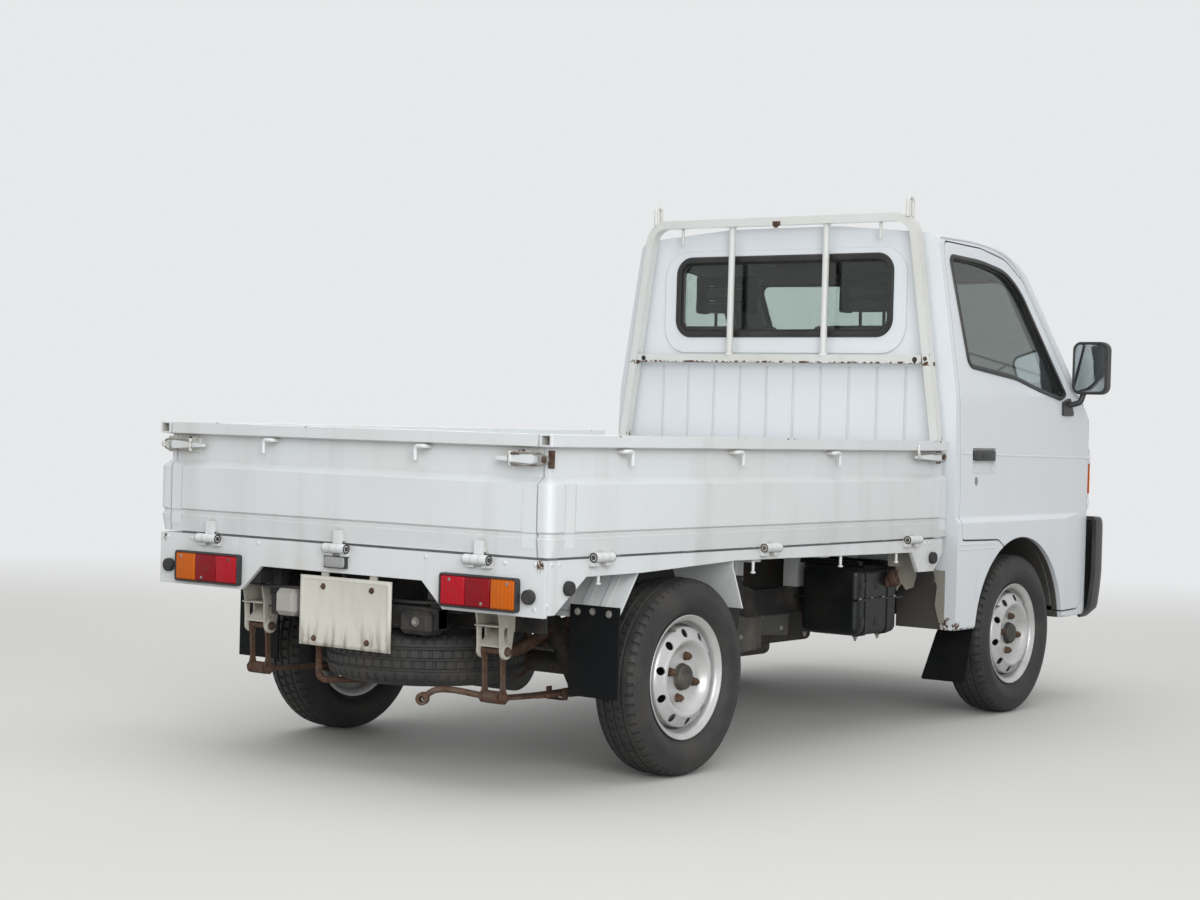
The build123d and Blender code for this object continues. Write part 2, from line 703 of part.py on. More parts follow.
# Front panel of the bed
panel_top = gate_top - 26
front_panel = block(panel_x, panel_x + 16, -floor_half, floor_half, panel_foot, panel_top)
parts["bed_front_panel"] = front_panel

# Guard frame behind the cab window
guard_x = cab_back - 31.0
guard_top = cab_roof + 14.0
guard_depth = 34.0
guard_tube = 27.0
guard_foot = panel_foot + seat_gap
guard_points = [(-632.0, guard_foot), (632.0, guard_foot), (628.0, gate_top), (524.0, guard_top),
                (-524.0, guard_top), (-628.0, gate_top)]
hoop_outer = outline(guard_points, [0.0, 0.0, 60.0, 82.0, 82.0, 60.0])
inner_points = drawn_in(guard_points, guard_tube)
hoop_inner = outline(inner_points, [0.0, 0.0, 40.0, 56.0, 56.0, 40.0])
below = Pos(0, guard_foot) * Rectangle(1100, 4 * guard_tube)
guard = along_x(hoop_outer - hoop_inner - below, guard_x - guard_depth / 2, guard_x + guard_depth / 2)
mid_rail_low = 1150.0
mid_rail_high = 1177.0
guard += block(guard_x - 13, guard_x + 13, -578, 578, mid_rail_low, mid_rail_high)
for y in (-186.0, 186.0):
    guard += rod((guard_x, y, mid_rail_high - 5), (guard_x, y, guard_top - 16), 11)
    guard += rod((guard_x, y * 2.1, guard_top - 20 - 62), (guard_x, y * 2.1, guard_top - 16), 5)
for side in (-1, 1):
    loop = bent_rod([
        (guard_x - 16, side * 497, guard_top - 14), (guard_x - 16, side * 497, guard_top + 48),
        (guard_x + 16, side * 497, guard_top + 48), (guard_x + 16, side * 497, guard_top - 14)], 6.5, 14)
    guard += loop
parts["guard_frame"] = guard

# Tail lamps, and the amber lenses of all four corners
lamp_front = tail_x - 14
tail_lamps = both_sides(block(lamp_front, tail_x - seat_gap, 365, 527, 474, 548))
parts["tail_lamps"] = tail_lamps
rear_amber = block(lamp_front, tail_x - seat_gap, 527.5, 605, 474, 548)
parts["indicators"] = both_sides(rear_amber) + both_sides(corner_lamp)

# Number plate on its bracket, with its lamp above
plate_back = tail_x + skirt_thickness + seat_gap
number_plate = block(plate_back - 3, plate_back, -178, 147, 331, 515)
number_plate += block(plate_back, plate_back + 6, -135, 105, 470, 505)
for y in (-111.0, 62.0):
    number_plate += block(plate_back, plate_back + 6, y - 12, y + 12, 470, 560)
parts["number_plate"] = number_plate
plate_lamp = block(tail_x - 11, tail_x - seat_gap, -32, 44, 540, tail_pin_z - 20 - seat_gap)
parts["plate_lamp"] = plate_lamp

# Rubber stops that the lowered gates rest on
stops = []
for side in (-1, 1):
    stops.append(rod((tail_x - seat_gap, side * 642, 510), (tail_x - 16, side * 642, 510), 17))
    for x, z in ((ahead(-568), 530.0), (bed_front - 72, 542.0)):
        start = (x, side * (sill_outer + seat_gap), z)
        end = (x, side * (sill_outer + 14), z)
        stops.append(rod(start, end, 17))
parts["rubber_stops"] = Compound(children=stops)

# Rear wheelhouse panels and mud flaps
panel_head = 588.0 - seat_gap
behind = outline([
    (ahead(-256), 552), (ahead(-256), panel_head), (ahead(-262), panel_head), (ahead(-262), 552),
    (ahead(-344), 436), (ahead(-338), 436)])
before = outline([
    (ahead(178), 552), (ahead(178), panel_head), (ahead(184), panel_head), (ahead(184), 552),
    (ahead(236), 438), (ahead(230), 438)])
rib = outline([(ahead(-261), 552), (ahead(-268), 552), (ahead(-338.7), 452), (ahead(-331.7), 452)])
panels = along_y(behind, 470, sill_outer - sill_thickness - seat_gap)
for y in (496.0, 556.0, 616.0):
    panels += along_y(rib, y - 11, y + 11)
panels += along_y(before, 470, sill_outer - sill_thickness - seat_gap)
parts["wheelhouse_panels"] = both_sides(panels)
rear_flap = block(ahead(-350), ahead(-344.3), 527, 684, 235, 470)
front_flap_face = outline([(687, 386), (600, 400), (541, 276), (490, 122), (649, 123)], 6)
flap_room = along_y(Pos(arch_x, arch_z) * Circle(arch_radius - seat_gap), arch_inner, 800)
flap_room += block(cab_at(-405), cab_at(-205), 300, 800, 0, cab_floor - seat_gap)
front_flap = along_x(front_flap_face, cab_at(-319), cab_at(-313)) & flap_room
parts["mud_flaps"] = both_sides(rear_flap + front_flap)

# Fuel tank on the right, engine, exhaust
tank_outer = bed_half_width - 112
tank_inner = rail_outer + 30
tank_rear = cab_back - 445
tank_front = cab_back - 195
tank = block(tank_rear, tank_front, -tank_outer, -tank_inner, 304, 515)
tank = fillet(tank.edges(), 24)
tank += block(tank_rear - 12, tank_front + 12, -tank_outer - 9, -tank_inner + 9, 412, 418)
for x in (tank_rear + 46, tank_rear + 180):
    band = block(x, x + 24, -tank_outer - 3, -tank_inner + 3, 301, 518)
    tank += fillet(band.edges().filter_by(Axis.X), 26)
    tank += block(x, x + 24, -tank_outer + 25, -rail_outer, 515, 530)
parts["fuel_tank"] = tank
engine_rear = cab_at(-1005)
gearbox_rear = ahead(560)
engine = block(engine_rear, cab_at(-515), -190, 210, 240, 540)
engine = fillet(engine.edges(), 20)
gearbox = along_x(Pos(0, 350) * Circle(100), gearbox_rear, engine_rear)
parts["engine_block"] = engine + gearbox
pipe_x = engine_rear + 45
muffler = rod((pipe_x - 385, -245, 320), (pipe_x - 85, -245, 320), 48)
muffler += bent_rod([
    (pipe_x - 87, -245, 320), (pipe_x, -245, 320), (pipe_x, -190 - seat_gap, 320)], 18, 24)
parts["exhaust"] = muffler

# Rear axle, springs, shaft
axle = rod((rear_axle_x, -520, axle_z), (rear_axle_x, 520, axle_z), 30)
axle += rod((rear_axle_x, -70, axle_z), (rear_axle_x, 70, axle_z), 92)
axle += rod((rear_axle_x, 0, axle_z), (rear_axle_x + 130, 0, axle_z), 50)
for side in (-1, 1):
    axle += rod((rear_axle_x, side * 500, axle_z), (rear_axle_x, side * 556, axle_z), 112)
    axle += rod((rear_axle_x, side * 550, axle_z), (rear_axle_x, side * (track_rear / 2 + hub_seat - seat_gap), axle_z), 24)
parts["rear_axle"] = axle

spring_y = 421.0
spring_width = 50.0
leaf = 8.0
spring_seat = axle_z - 30 - seat_gap
rear_eye = (ahead(-524), spring_seat - 8)
front_eye = (ahead(500), spring_seat + 60)


def leaf_arc(reach, drop):
    # one leaf as a thin bowed strip, reach is its share of the full length
    start = (rear_axle_x + (rear_eye[0] - rear_axle_x) * reach, spring_seat - drop + (rear_eye[1] - spring_seat + 8) * reach ** 2)
    end = (rear_axle_x + (front_eye[0] - rear_axle_x) * reach, spring_seat - drop + (front_eye[1] - spring_seat) * reach ** 2)
    middle = (rear_axle_x, spring_seat - drop)
    upper = ThreePointArc(start, middle, end)
    lower = ThreePointArc((start[0], start[1] - leaf), (middle[0], middle[1] - leaf), (end[0], end[1] - leaf))
    sides = [Line(upper @ 0, lower @ 0), Line(upper @ 1, lower @ 1)]
    face = make_face(Curve() + [upper, lower] + sides)
    return along_y(face, spring_y - spring_width / 2, spring_y + spring_width / 2)


spring = leaf_arc(1.0, 0.0) + leaf_arc(0.72, leaf - 0.5) + leaf_arc(0.45, 2 * leaf - 1.0)
parts["leaf_springs"] = both_sides(spring)
hanger = Part()
shackle_inner = spring_width / 2 + seat_gap
hanger_head = rail_top - rail_height + 20
for side in (-1, 1):
    cheek = spring_y + side * 37
    shackle = spring_y + side * (shackle_inner + 3)
    hanger += block(ahead(-560), ahead(-488), cheek - 3, cheek + 3, 339, hanger_head)
    hanger += block(ahead(-534), ahead(-514), shackle - 3, shackle + 3, 216, 366)
hanger += block(ahead(-560), ahead(-488), rail_outer, spring_y + 40, hanger_head - 6, hanger_head)
hanger += rod((ahead(-524), spring_y - 46, 352), (ahead(-524), spring_y + 46, 352), 9)
hanger += block(ahead(478), ahead(522), rail_outer, spring_y + 30, 302, 330)
hanger += block(ahead(478), ahead(522), rail_outer, rail_outer + 8, 302, 460)
parts["spring_hangers"] = both_sides(hanger)
shaft_room = block(rear_axle_x + 130 + seat_gap, gearbox_rear - seat_gap, -60, 60, 100, 500)
parts["prop_shaft"] = rod((rear_axle_x + 110, 0, axle_z), (gearbox_rear + 30, 0, 348), 26) & shaft_room

# Rear cross beam above the spare wheel, and its carrier bar
rear_beam = block(ahead(-600), ahead(-566), -rail_inner, rail_inner, 395, 452)
for side in (-1, 1):
    rear_beam += block(
        ahead(-600), ahead(-566), side * (rail_inner - 30), side * rail_inner, 452, rail_top - rail_height + 40)
parts["rear_beam"] = rear_beam
carrier_radius = 9.0
carrier_y = -150.0
carrier_z = spare_z - tyre_width / 2 - carrier_radius - seat_gap
carrier = bent_rod([
    (ahead(-583), 135, 395 - seat_gap), (ahead(-583), 135, carrier_z), (spare_x, spare_y, carrier_z),
    (ahead(-66), carrier_y, carrier_z), (ahead(-66), carrier_y, rail_top - 70 - seat_gap)], carrier_radius, 20)
parts["spare_carrier"] = carrier

# Front suspension and knuckles
kingpin_y = 545.0
arm_z = 205.0
knuckle_foot = arm_z + 22
suspension = block(front_axle_x - 40, front_axle_x + 40, -rail_inner, rail_inner, 300, 360 - seat_gap)
for side in (-1, 1):
    suspension += rod((front_axle_x, side * 290, 318), (front_axle_x, side * (kingpin_y - 30), arm_z), 16)
    suspension += rod((front_axle_x, side * (kingpin_y - 30), arm_z), (front_axle_x, side * kingpin_y, arm_z), 16)
    suspension += rod((front_axle_x, side * kingpin_y, arm_z), (front_axle_x, side * kingpin_y, knuckle_foot - seat_gap), 10)
    suspension += rod((front_axle_x, side * 452, 320), (front_axle_x, side * 430, 587.2), 22)
    suspension += rod((front_axle_x, side * 290, 330), (front_axle_x, side * 452, 320), 12)
parts["front_suspension"] = suspension
knuckle = block(front_axle_x - 22, front_axle_x + 22, kingpin_y - 24, kingpin_y + 18, knuckle_foot, 320)
knuckle += rod((front_axle_x, kingpin_y, axle_z), (front_axle_x, track_front / 2 + hub_seat - seat_gap, axle_z), 24)
knuckle += rod((front_axle_x, kingpin_y + 10, axle_z), (front_axle_x, kingpin_y + 30, axle_z), 108)
parts["front_knuckle_left"] = knuckle
parts["front_knuckle_right"] = other_side(knuckle)

# Inside the cab
seat_y = 290.0
cushion = block(cab_at(-405), cab_at(-5), seat_y - 235, seat_y + 235, 640 + seat_gap, 745)
backrest = along_y(
    outline([(cab_at(-405), 745), (cab_at(-285), 745), (cab_at(-315), 1300), (cab_at(-399), 1300)], 20),
    seat_y - 225, seat_y + 225)
headrest = along_y(
    outline([(cab_at(-393), 1325), (cab_at(-315), 1325), (cab_at(-319), 1480), (cab_at(-389), 1480)], 20),
    seat_y - 120, seat_y + 120)
for y in (-60.0, 60.0):
    headrest += rod((cab_at(-355), seat_y + y, 1290), (cab_at(-355), seat_y + y, 1330), 6)
parts["seats"] = both_sides(cushion + backrest + headrest)
dash_face = outline([
    (cab_at(285), 800), (cab_at(795), 800), (cab_at(795), 1040), (cab_at(335), 1040), (cab_at(285), 980)], 12)
dashboard = cab_body(cab_wall + seat_gap) & along_y(dash_face, -600, 600)
parts["dashboard"] = dashboard
wheel_centre = Vector(cab_at(125), -seat_y, 985)
wheel_axis = Vector(-0.5, 0, 0.866)
steering_plane = Plane(origin=wheel_centre, x_dir=(0, 1, 0), z_dir=wheel_axis)
steering = Torus(182, 12)
steering += Pos(0, 0, -30) * Cylinder(34, 44)
steering += Pos(0, 0, -10) * Box(360, 26, 10)
steering = steering_plane * steering
parts["steering_wheel"] = steering
column_start = wheel_centre - wheel_axis * (52 + seat_gap)
column_end = wheel_centre - wheel_axis * 660
column_room = block(0, 2000, -600, 600, tunnel_top + floor_plate + seat_gap, 2000)
parts["steering_column"] = rod(column_start, column_end, 26) & column_room

os.makedirs("parts", exist_ok=True)
for name, shape in parts.items():
    export_step(shape, "parts/" + name + ".step")
    box = shape.bounding_box()
    print(name, len(shape.solids()), round(shape.volume / 1e6, 3), box.min, box.max)
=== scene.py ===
import bmesh
import bpy
import json
import math
from mathutils import Matrix, Vector


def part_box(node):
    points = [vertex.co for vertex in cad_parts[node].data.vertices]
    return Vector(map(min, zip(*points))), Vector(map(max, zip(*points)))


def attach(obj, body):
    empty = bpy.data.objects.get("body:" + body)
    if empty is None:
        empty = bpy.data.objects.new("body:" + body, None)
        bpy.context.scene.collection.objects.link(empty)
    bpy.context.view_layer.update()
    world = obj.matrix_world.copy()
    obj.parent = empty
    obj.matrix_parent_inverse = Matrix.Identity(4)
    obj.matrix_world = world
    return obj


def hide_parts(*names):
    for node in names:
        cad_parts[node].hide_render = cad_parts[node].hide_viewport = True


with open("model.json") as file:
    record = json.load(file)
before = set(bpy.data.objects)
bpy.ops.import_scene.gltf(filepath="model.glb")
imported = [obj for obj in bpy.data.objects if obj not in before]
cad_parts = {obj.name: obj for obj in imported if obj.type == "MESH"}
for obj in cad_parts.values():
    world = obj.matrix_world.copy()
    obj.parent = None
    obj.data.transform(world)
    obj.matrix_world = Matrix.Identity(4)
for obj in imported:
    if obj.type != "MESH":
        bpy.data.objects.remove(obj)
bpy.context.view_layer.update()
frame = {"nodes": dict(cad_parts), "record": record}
nodes = frame["nodes"]
scene = bpy.context.scene
print("frame loaded:", len(nodes), "nodes")

# Places are in metres. Most X are given ahead of the rear axle.
rearAxle = sum(corner.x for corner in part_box("tyre_rear_right")) / 2
frontAxle = sum(corner.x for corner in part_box("tyre_front_right")) / 2
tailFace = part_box("bed_sills")[0].x
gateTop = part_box("tailgate")[1].z
gateHeight = 0.3


def ahead(x):
    return rearAxle + x


# Camera, solved from the photograph
cameraView = {"place": (-5.7729, -3.9853, 0.949), "yaw": 37.124, "pitch": -0.833, "roll": 1.557,
              "lens": 65.95}


def makeCamera(look):
    yaw = math.radians(look["yaw"])
    pitch = math.radians(look["pitch"])
    roll = math.radians(look["roll"])
    way = Vector((math.cos(yaw) * math.cos(pitch), math.sin(yaw) * math.cos(pitch), math.sin(pitch)))
    level = way.cross(Vector((0, 0, 1))).normalized()
    upright = level.cross(way)
    right = level * math.cos(roll) + upright * math.sin(roll)
    up = upright * math.cos(roll) - level * math.sin(roll)
    data = bpy.data.cameras.new("photoCamera")
    data.lens = look["lens"]
    data.sensor_width = 36
    camera = bpy.data.objects.new("photoCamera", data)
    turn = Matrix((right, up, -way)).transposed().to_4x4()
    camera.matrix_world = Matrix.Translation(Vector(look["place"])) @ turn
    scene.collection.objects.link(camera)
    scene.camera = camera


makeCamera(cameraView)
scene.view_settings.view_transform = "Standard"


# Shader maths: a socket that takes part in plain arithmetic
class Channel:
    def __init__(self, finish, socket):
        self.finish = finish
        self.socket = socket

    def maths(self, operation, *terms):
        return self.finish.node("ShaderNodeMath", {"operation": operation}, terms)

    def __add__(self, other):
        return self.maths("ADD", self, other)

    def __sub__(self, other):
        return self.maths("SUBTRACT", self, other)

    def __rsub__(self, other):
        return self.maths("SUBTRACT", other, self)

    def __mul__(self, other):
        return self.maths("MULTIPLY", self, other)

    def __abs__(self):
        return self.maths("ABSOLUTE", self)

    __radd__ = __add__
    __rmul__ = __mul__

    def least(self, other):
        return self.maths("MINIMUM", self, other)

    def most(self, other):
        return self.maths("MAXIMUM", self, other)

    def rise(self, low, high):
        # 0 below low, 1 above high
        span = {"Value": self, "From Min": low, "From Max": high}
        return self.finish.node("ShaderNodeMapRange", {"interpolation_type": "SMOOTHSTEP"}, span)

    def near(self, place, reach):
        # 1 at the place, 0 a reach away from it
        return 1 - abs(self - place).rise(0.0, reach)


class NodeBench:
    def __init__(self, tree):
        self.tree = tree
        self.tree.nodes.clear()

    def node(self, kind, settings=None, sockets=None, output=0):
        item = self.tree.nodes.new(kind)
        for key, value in (settings or {}).items():
            if key == "stops":
                self.setStops(item.color_ramp, value)
            else:
                setattr(item, key, value)
        pairs = sockets.items() if isinstance(sockets, dict) else enumerate(sockets or ())
        for key, value in pairs:
            self.feed(item.inputs[key], value)
        return Channel(self, item.outputs[output]) if item.outputs else item

    def setStops(self, ramp, stops):
        while len(ramp.elements) < len(stops):
            ramp.elements.new(0.5)
        for element, (position, colour) in zip(ramp.elements, stops):
            element.position = position
            element.color = (*colour, 1) if len(colour) == 3 else colour

    def feed(self, socket, value):
        if isinstance(value, Channel):
            self.tree.links.new(value.socket, socket)
        elif socket.type == "RGBA" and len(value) == 3:
            socket.default_value = (*value, 1)
        else:
            socket.default_value = value


class Finish(NodeBench):
    def __init__(self, name, **fixed):
        self.material = bpy.data.materials.new(name)
        self.material.use_nodes = True
        super().__init__(self.material.node_tree)
        self.place = self.node("ShaderNodeTexCoord", output="Object")
        shown = self.node("ShaderNodeBsdfPrincipled")
        self.shader = shown.socket.node
        self.node("ShaderNodeOutputMaterial", sockets={"Surface": shown})
        for word, value in fixed.items():
            self.set(word, value)

    def set(self, word, value):
        # baseColor -> Base Color
        label = "".join(" " + c if c.isupper() else c for c in word)
        label = (label[0].upper() + label[1:]).replace("Ior", "IOR")
        self.feed(self.shader.inputs[label], value)

    def axes(self):
        split = self.node("ShaderNodeSeparateXYZ", sockets=[self.place])
        sockets = split.socket.node.outputs
        return [Channel(self, sockets[i]) for i in range(3)]

    def noise(self, scale, detail=4.0, stretch=(1, 1, 1), shift=(0, 0, 0), roughness=0.55):
        where = self.node("ShaderNodeMapping", sockets={"Vector": self.place, "Scale": stretch,
                                                        "Location": shift})
        sockets = {"Vector": where, "Scale": scale, "Detail": detail, "Roughness": roughness}
        return self.node("ShaderNodeTexNoise", sockets=sockets)

    def mix(self, factor, first, second):
        return self.node("ShaderNodeMix", {"data_type": "RGBA"}, {0: factor, 6: first, 7: second}, output=2)

    # ambient occlusion of the piece's own mesh, 1 in its crevices: where it darkens a colour, it paints shade
    def crevice(self, reach, samples=4):
        settings = {"samples": samples, "only_local": True}
        return 1 - self.node("ShaderNodeAmbientOcclusion", settings, {"Distance": reach}, output="AO")

    def rounded(self, radius):
        return self.node("ShaderNodeBevel", {"samples": 4}, {"Radius": radius})

    def edge(self, soft):
        # how far the rounded normal leaves the true one
        true = self.node("ShaderNodeNewGeometry", output="Normal")
        return 1 - self.node("ShaderNodeVectorMath", {"operation": "DOT_PRODUCT"}, [soft, true],
                             output="Value")

    def bump(self, height, distance, strength=1.0, normal=None):
        sockets = {"Height": height, "Distance": distance, "Strength": strength}
        if normal:
            sockets["Normal"] = normal
        self.set("normal", self.node("ShaderNodeBump", sockets=sockets))


# Finishes
rustDark = (0.042, 0.023, 0.016)
rustLight = (0.14, 0.068, 0.036)
dustBrown = (0.3, 0.255, 0.195)
dustPale = (0.36, 0.33, 0.28)

archLook = {"x": -0.008, "z": 0.268, "radius": 0.322}
# black used for underseal and for painted shade on the cab
sealAndShadeBlack = (0.012, 0.012, 0.012)

paintLooks = {
    "cab_white": {"clean": (0.73, 0.765, 0.8), "aged": (0.69, 0.71, 0.72), "ageing": 0.25, "grime": 0.4,
                  "streaks": 0.05, "rust": 0.06, "edge": 0.0035, "roughness": 0.28, "coat": 0.3},
    "bed_white": {"clean": (0.72, 0.75, 0.765), "aged": (0.66, 0.66, 0.63), "ageing": 0.45, "grime": 0.75,
                  "streaks": 0.16, "rust": 0.42, "edge": 0.003, "roughness": 0.36, "coat": 0.25},
    "aged_white": {"clean": (0.68, 0.695, 0.68), "aged": (0.6, 0.585, 0.52), "ageing": 0.6, "grime": 0.75,
                   "streaks": 0.16, "rust": 0.5, "edge": 0.002, "roughness": 0.42, "coat": 0.15},
}


def paintedSteel(name, look, rustSpots=None, sealAndShade=None):
    finish = Finish(name)
    x, y, z = finish.axes()
    soft = finish.rounded(look["edge"])
    edge = finish.edge(soft).rise(0.02, 0.25)
    crevice = finish.crevice(0.035).rise(0.12, 0.75)
    cloudy = finish.noise(2.3, 5).rise(0.35, 0.75)
    colour = finish.mix(cloudy * look["ageing"], look["clean"], look["aged"])

    streaks = finish.noise(9.0, 6, stretch=(1, 1, 0.12)).rise(0.48, 0.72)
    low = 1 - z.rise(0.32, 0.72)
    # brown grime and painted shade: ambient occlusion paints shade into crevices, noise adds dirt streaks,
    # and the colour darkens towards the bottom
    grime = (crevice * 0.75 + streaks * look["streaks"] + low * streaks * 0.35 + low * 0.12) * look["grime"]
    colour = finish.mix(grime.least(0.85), colour, dustBrown)

    specks = finish.noise(46.0, 6, roughness=0.7)
    patches = finish.noise(5.5, 4, shift=(3, 1, 2))
    chips = edge * specks.rise(0.56, 0.64) * patches.rise(0.5, 0.66)
    chips = chips.most(crevice * specks.rise(0.6, 0.7) * patches.rise(0.53, 0.66))
    chips = chips * look["rust"]
    pits = specks.rise(0.7, 0.74) * patches.rise(0.58, 0.66) * look["rust"]
    rust = chips.most(pits)
    if rustSpots:
        rust = rust.most(rustSpots(finish, x, y, z, specks))
    rust = rust.rise(0.12, 0.34)
    rustColour = finish.mix(finish.noise(120.0, 3), rustDark, rustLight)
    colour = finish.mix(rust, colour, rustColour)
    matt = rust + grime
    # black coat with pale dust where the mask says: underseal, and painted shade where it stands for shadow
    if sealAndShade:
        sealedAndShaded = sealAndShade(finish, x, y, z)
        dustedSealAndShade = finish.mix(cloudy * 0.12 + low * 0.06, sealAndShadeBlack, dustPale)
        colour = finish.mix(sealedAndShaded, colour, dustedSealAndShade)
        matt = matt + sealedAndShaded
    finish.set("baseColor", colour)
    finish.set("roughness", (matt * 0.5 + look["roughness"] + streaks * 0.02).least(0.95))
    finish.set("coatWeight", (1 - matt.least(1.0)) * look["coat"])
    finish.set("coatRoughness", 0.12)
    peel = finish.noise(260.0, 2)
    finish.bump(peel * 0.12 + rust * specks, 0.0009, 0.35, soft)
    return finish.material


def cabRust(finish, x, y, z, specks):
    # the sill's rear lower corners and the seams under the doors
    corner = x.near(ahead(1.45), 0.04) * (1 - z.rise(0.312, 0.362)) * abs(y).rise(0.6, 0.66)
    seam = (1 - z.rise(0.3, 0.318)) * abs(y).rise(0.62, 0.66)
    return (corner * specks.rise(0.44, 0.62) * 0.7).most(seam * specks.rise(0.52, 0.64) * 0.5)


def cabSealAndShade(finish, x, y, z):
    # black underseal in the wheel arches and under the floor, which also darkens the underside as painted
    # shade; black on the foot of the rear wall is painted shade for the dark open space under the cab
    archX = x - frontAxle - archLook["x"]
    archZ = z - archLook["z"]
    reach = archLook["radius"] ** 2
    arch = (1 - (archX * archX + archZ * archZ).rise(reach * 1.012, reach * 1.03))
    arch = arch * (1 - abs(y).rise(0.668, 0.674))
    ragged = finish.noise(30.0, 4) * 0.03
    # painted shade: the foot of the rear wall is painted black where the space under the cab lies in shadow
    foot = (1 - x.rise(ahead(1.452), ahead(1.456))) * (1 - (z - ragged).rise(0.49, 0.5))
    foot = foot * (1 - abs(y + ragged).rise(0.585, 0.6))
    # underseal under the floor, also painted shade on the underside
    under = (1 - z.rise(0.452, 0.456)) * (1 - abs(y).rise(0.628, 0.634))
    return arch.most(foot).most(under)


def bedRust(finish, x, y, z, specks):
    # tops of the rails, the skirt's seams and the corner plates
    railTop = z.near(gateTop, 0.01) * specks.rise(0.52, 0.66) * finish.noise(3.2, 3).rise(0.5, 0.62)
    corner = abs(y).near(0.671, 0.018) * z.near(0.585, 0.03) * (1 - x.rise(tailFace + 0.02, tailFace + 0.06))
    return (railTop * 0.75).most(corner * specks.rise(0.44, 0.58) * 0.8)


def guardRust(finish, x, y, z, specks):
    # underside of the middle rail, and the feet of the posts
    under = (1 - z.rise(1.15, 1.16)) * z.rise(1.14, 1.148) * specks.rise(0.44, 0.6)
    foot = (1 - z.rise(0.86, 0.96)) * z.rise(0.8, 0.86) * specks.rise(0.54, 0.64) * 0.6
    return (under * 0.9).most(foot)


cabWhite = paintedSteel("cabWhite", paintLooks["cab_white"], cabRust, cabSealAndShade)
bedWhite = paintedSteel("bedWhite", paintLooks["bed_white"], bedRust)
agedWhite = paintedSteel("agedWhite", paintLooks["aged_white"], guardRust)


def dustyBlack(name, colour, dust, roughness, grain, shine=0.5):
    finish = Finish(name, specularIorLevel=shine)
    soft = finish.rounded(0.002)
    cloud = finish.noise(7.0, 5).rise(0.42, 0.7)
    crevice = finish.crevice(0.03).rise(0.1, 0.8)
    # dust film: in crevices, from ambient occlusion, the dust colour lightens the dark finishes and darkens
    # the pale greys a little as painted shade
    film = (cloud * 0.55 + crevice * 0.35 + finish.noise(60.0, 4).rise(0.5, 0.8) * 0.25) * dust
    finish.set("baseColor", finish.mix(film.least(0.9), colour, dustBrown))
    finish.set("roughness", (film * 0.5 + roughness).least(0.95))
    finish.bump(finish.noise(grain, 3), 0.0006, 0.4, soft)
    return finish.material


blackPlastic = dustyBlack("blackPlastic", (0.022, 0.023, 0.025), 0.12, 0.42, 900.0)
rubberBlack = dustyBlack("rubberBlack", (0.018, 0.018, 0.019), 0.22, 0.62, 400.0)
flapRubber = dustyBlack("flapRubber", (0.004, 0.005, 0.006), 0.03, 0.6, 180.0, 0.15)
frameBlack = dustyBlack("frameBlack", (0.017, 0.017, 0.018), 0.3, 0.6, 150.0, 0.3)
gasketRubber = dustyBlack("gasketRubber", (0.014, 0.014, 0.015), 0.1, 0.38, 500.0)
trimGrey = dustyBlack("trimGrey", (0.11, 0.11, 0.115), 0.1, 0.6, 900.0)
tankBlack = dustyBlack("tankBlack", (0.007, 0.008, 0.009), 0.06, 0.3, 120.0, 0.3)


def tyreRubber():
    look = {"rubber": (0.019, 0.019, 0.02), "dust": (0.095, 0.087, 0.076)}
    finish = Finish("tyreRubber")
    soft = finish.rounded(0.0012)
    cloud = finish.noise(9.0, 6).rise(0.4, 0.72)
    crevice = finish.crevice(0.012).rise(0.15, 0.8)
    film = (cloud * 0.3 + crevice * 0.3 + finish.noise(90.0, 4).rise(0.52, 0.8) * 0.2).least(0.8)
    finish.set("baseColor", finish.mix(film, look["rubber"], look["dust"]))
    finish.set("roughness", film * 0.3 + 0.62)
    finish.bump(finish.noise(350.0, 3), 0.0005, 0.4, soft)
    return finish.material


def wheelPaint(name, grime):
    look = {"silver": (0.56, 0.565, 0.56), "grime": (0.105, 0.078, 0.054)}
    finish = Finish(name, metallic=0.35)
    soft = finish.rounded(0.002)
    edge = finish.edge(soft).rise(0.02, 0.3)
    specks = finish.noise(70.0, 6, roughness=0.7)
    cloud = finish.noise(14.0, 6).rise(0.38, 0.7)
    crevice = finish.crevice(0.03).rise(0.1, 0.62)
    # brown film: dirt from noise and specks, and painted shade in crevices from ambient occlusion
    film = (crevice * 0.9 + cloud * 0.16 + specks.rise(0.55, 0.75) * 0.12) * grime
    colour = finish.mix(film.least(0.95), look["silver"], look["grime"])
    rust = (edge * specks.rise(0.52, 0.62) * cloud).most(crevice * specks.rise(0.6, 0.68) * 0.6)
    rust = rust.rise(0.3, 0.6)
    colour = finish.mix(rust, colour, finish.mix(specks, rustDark, rustLight))
    finish.set("baseColor", colour)
    finish.set("roughness", (film * 0.45 + rust * 0.4 + 0.32).least(0.95))
    finish.bump(specks, 0.0006, 0.3, soft)
    return finish.material


def rustySteel(name, bare, share):
    finish = Finish(name)
    soft = finish.rounded(0.0015)
    specks = finish.noise(80.0, 6, roughness=0.7)
    cloud = finish.noise(18.0, 5).rise(0.55 - share * 0.3, 0.72 - share * 0.2)
    rust = finish.mix(specks.rise(0.35, 0.7), rustDark, rustLight)
    finish.set("baseColor", finish.mix(cloud, bare, rust))
    finish.set("roughness", cloud * 0.35 + 0.5)
    finish.bump(specks, 0.0006, 0.4, soft)
    return finish.material


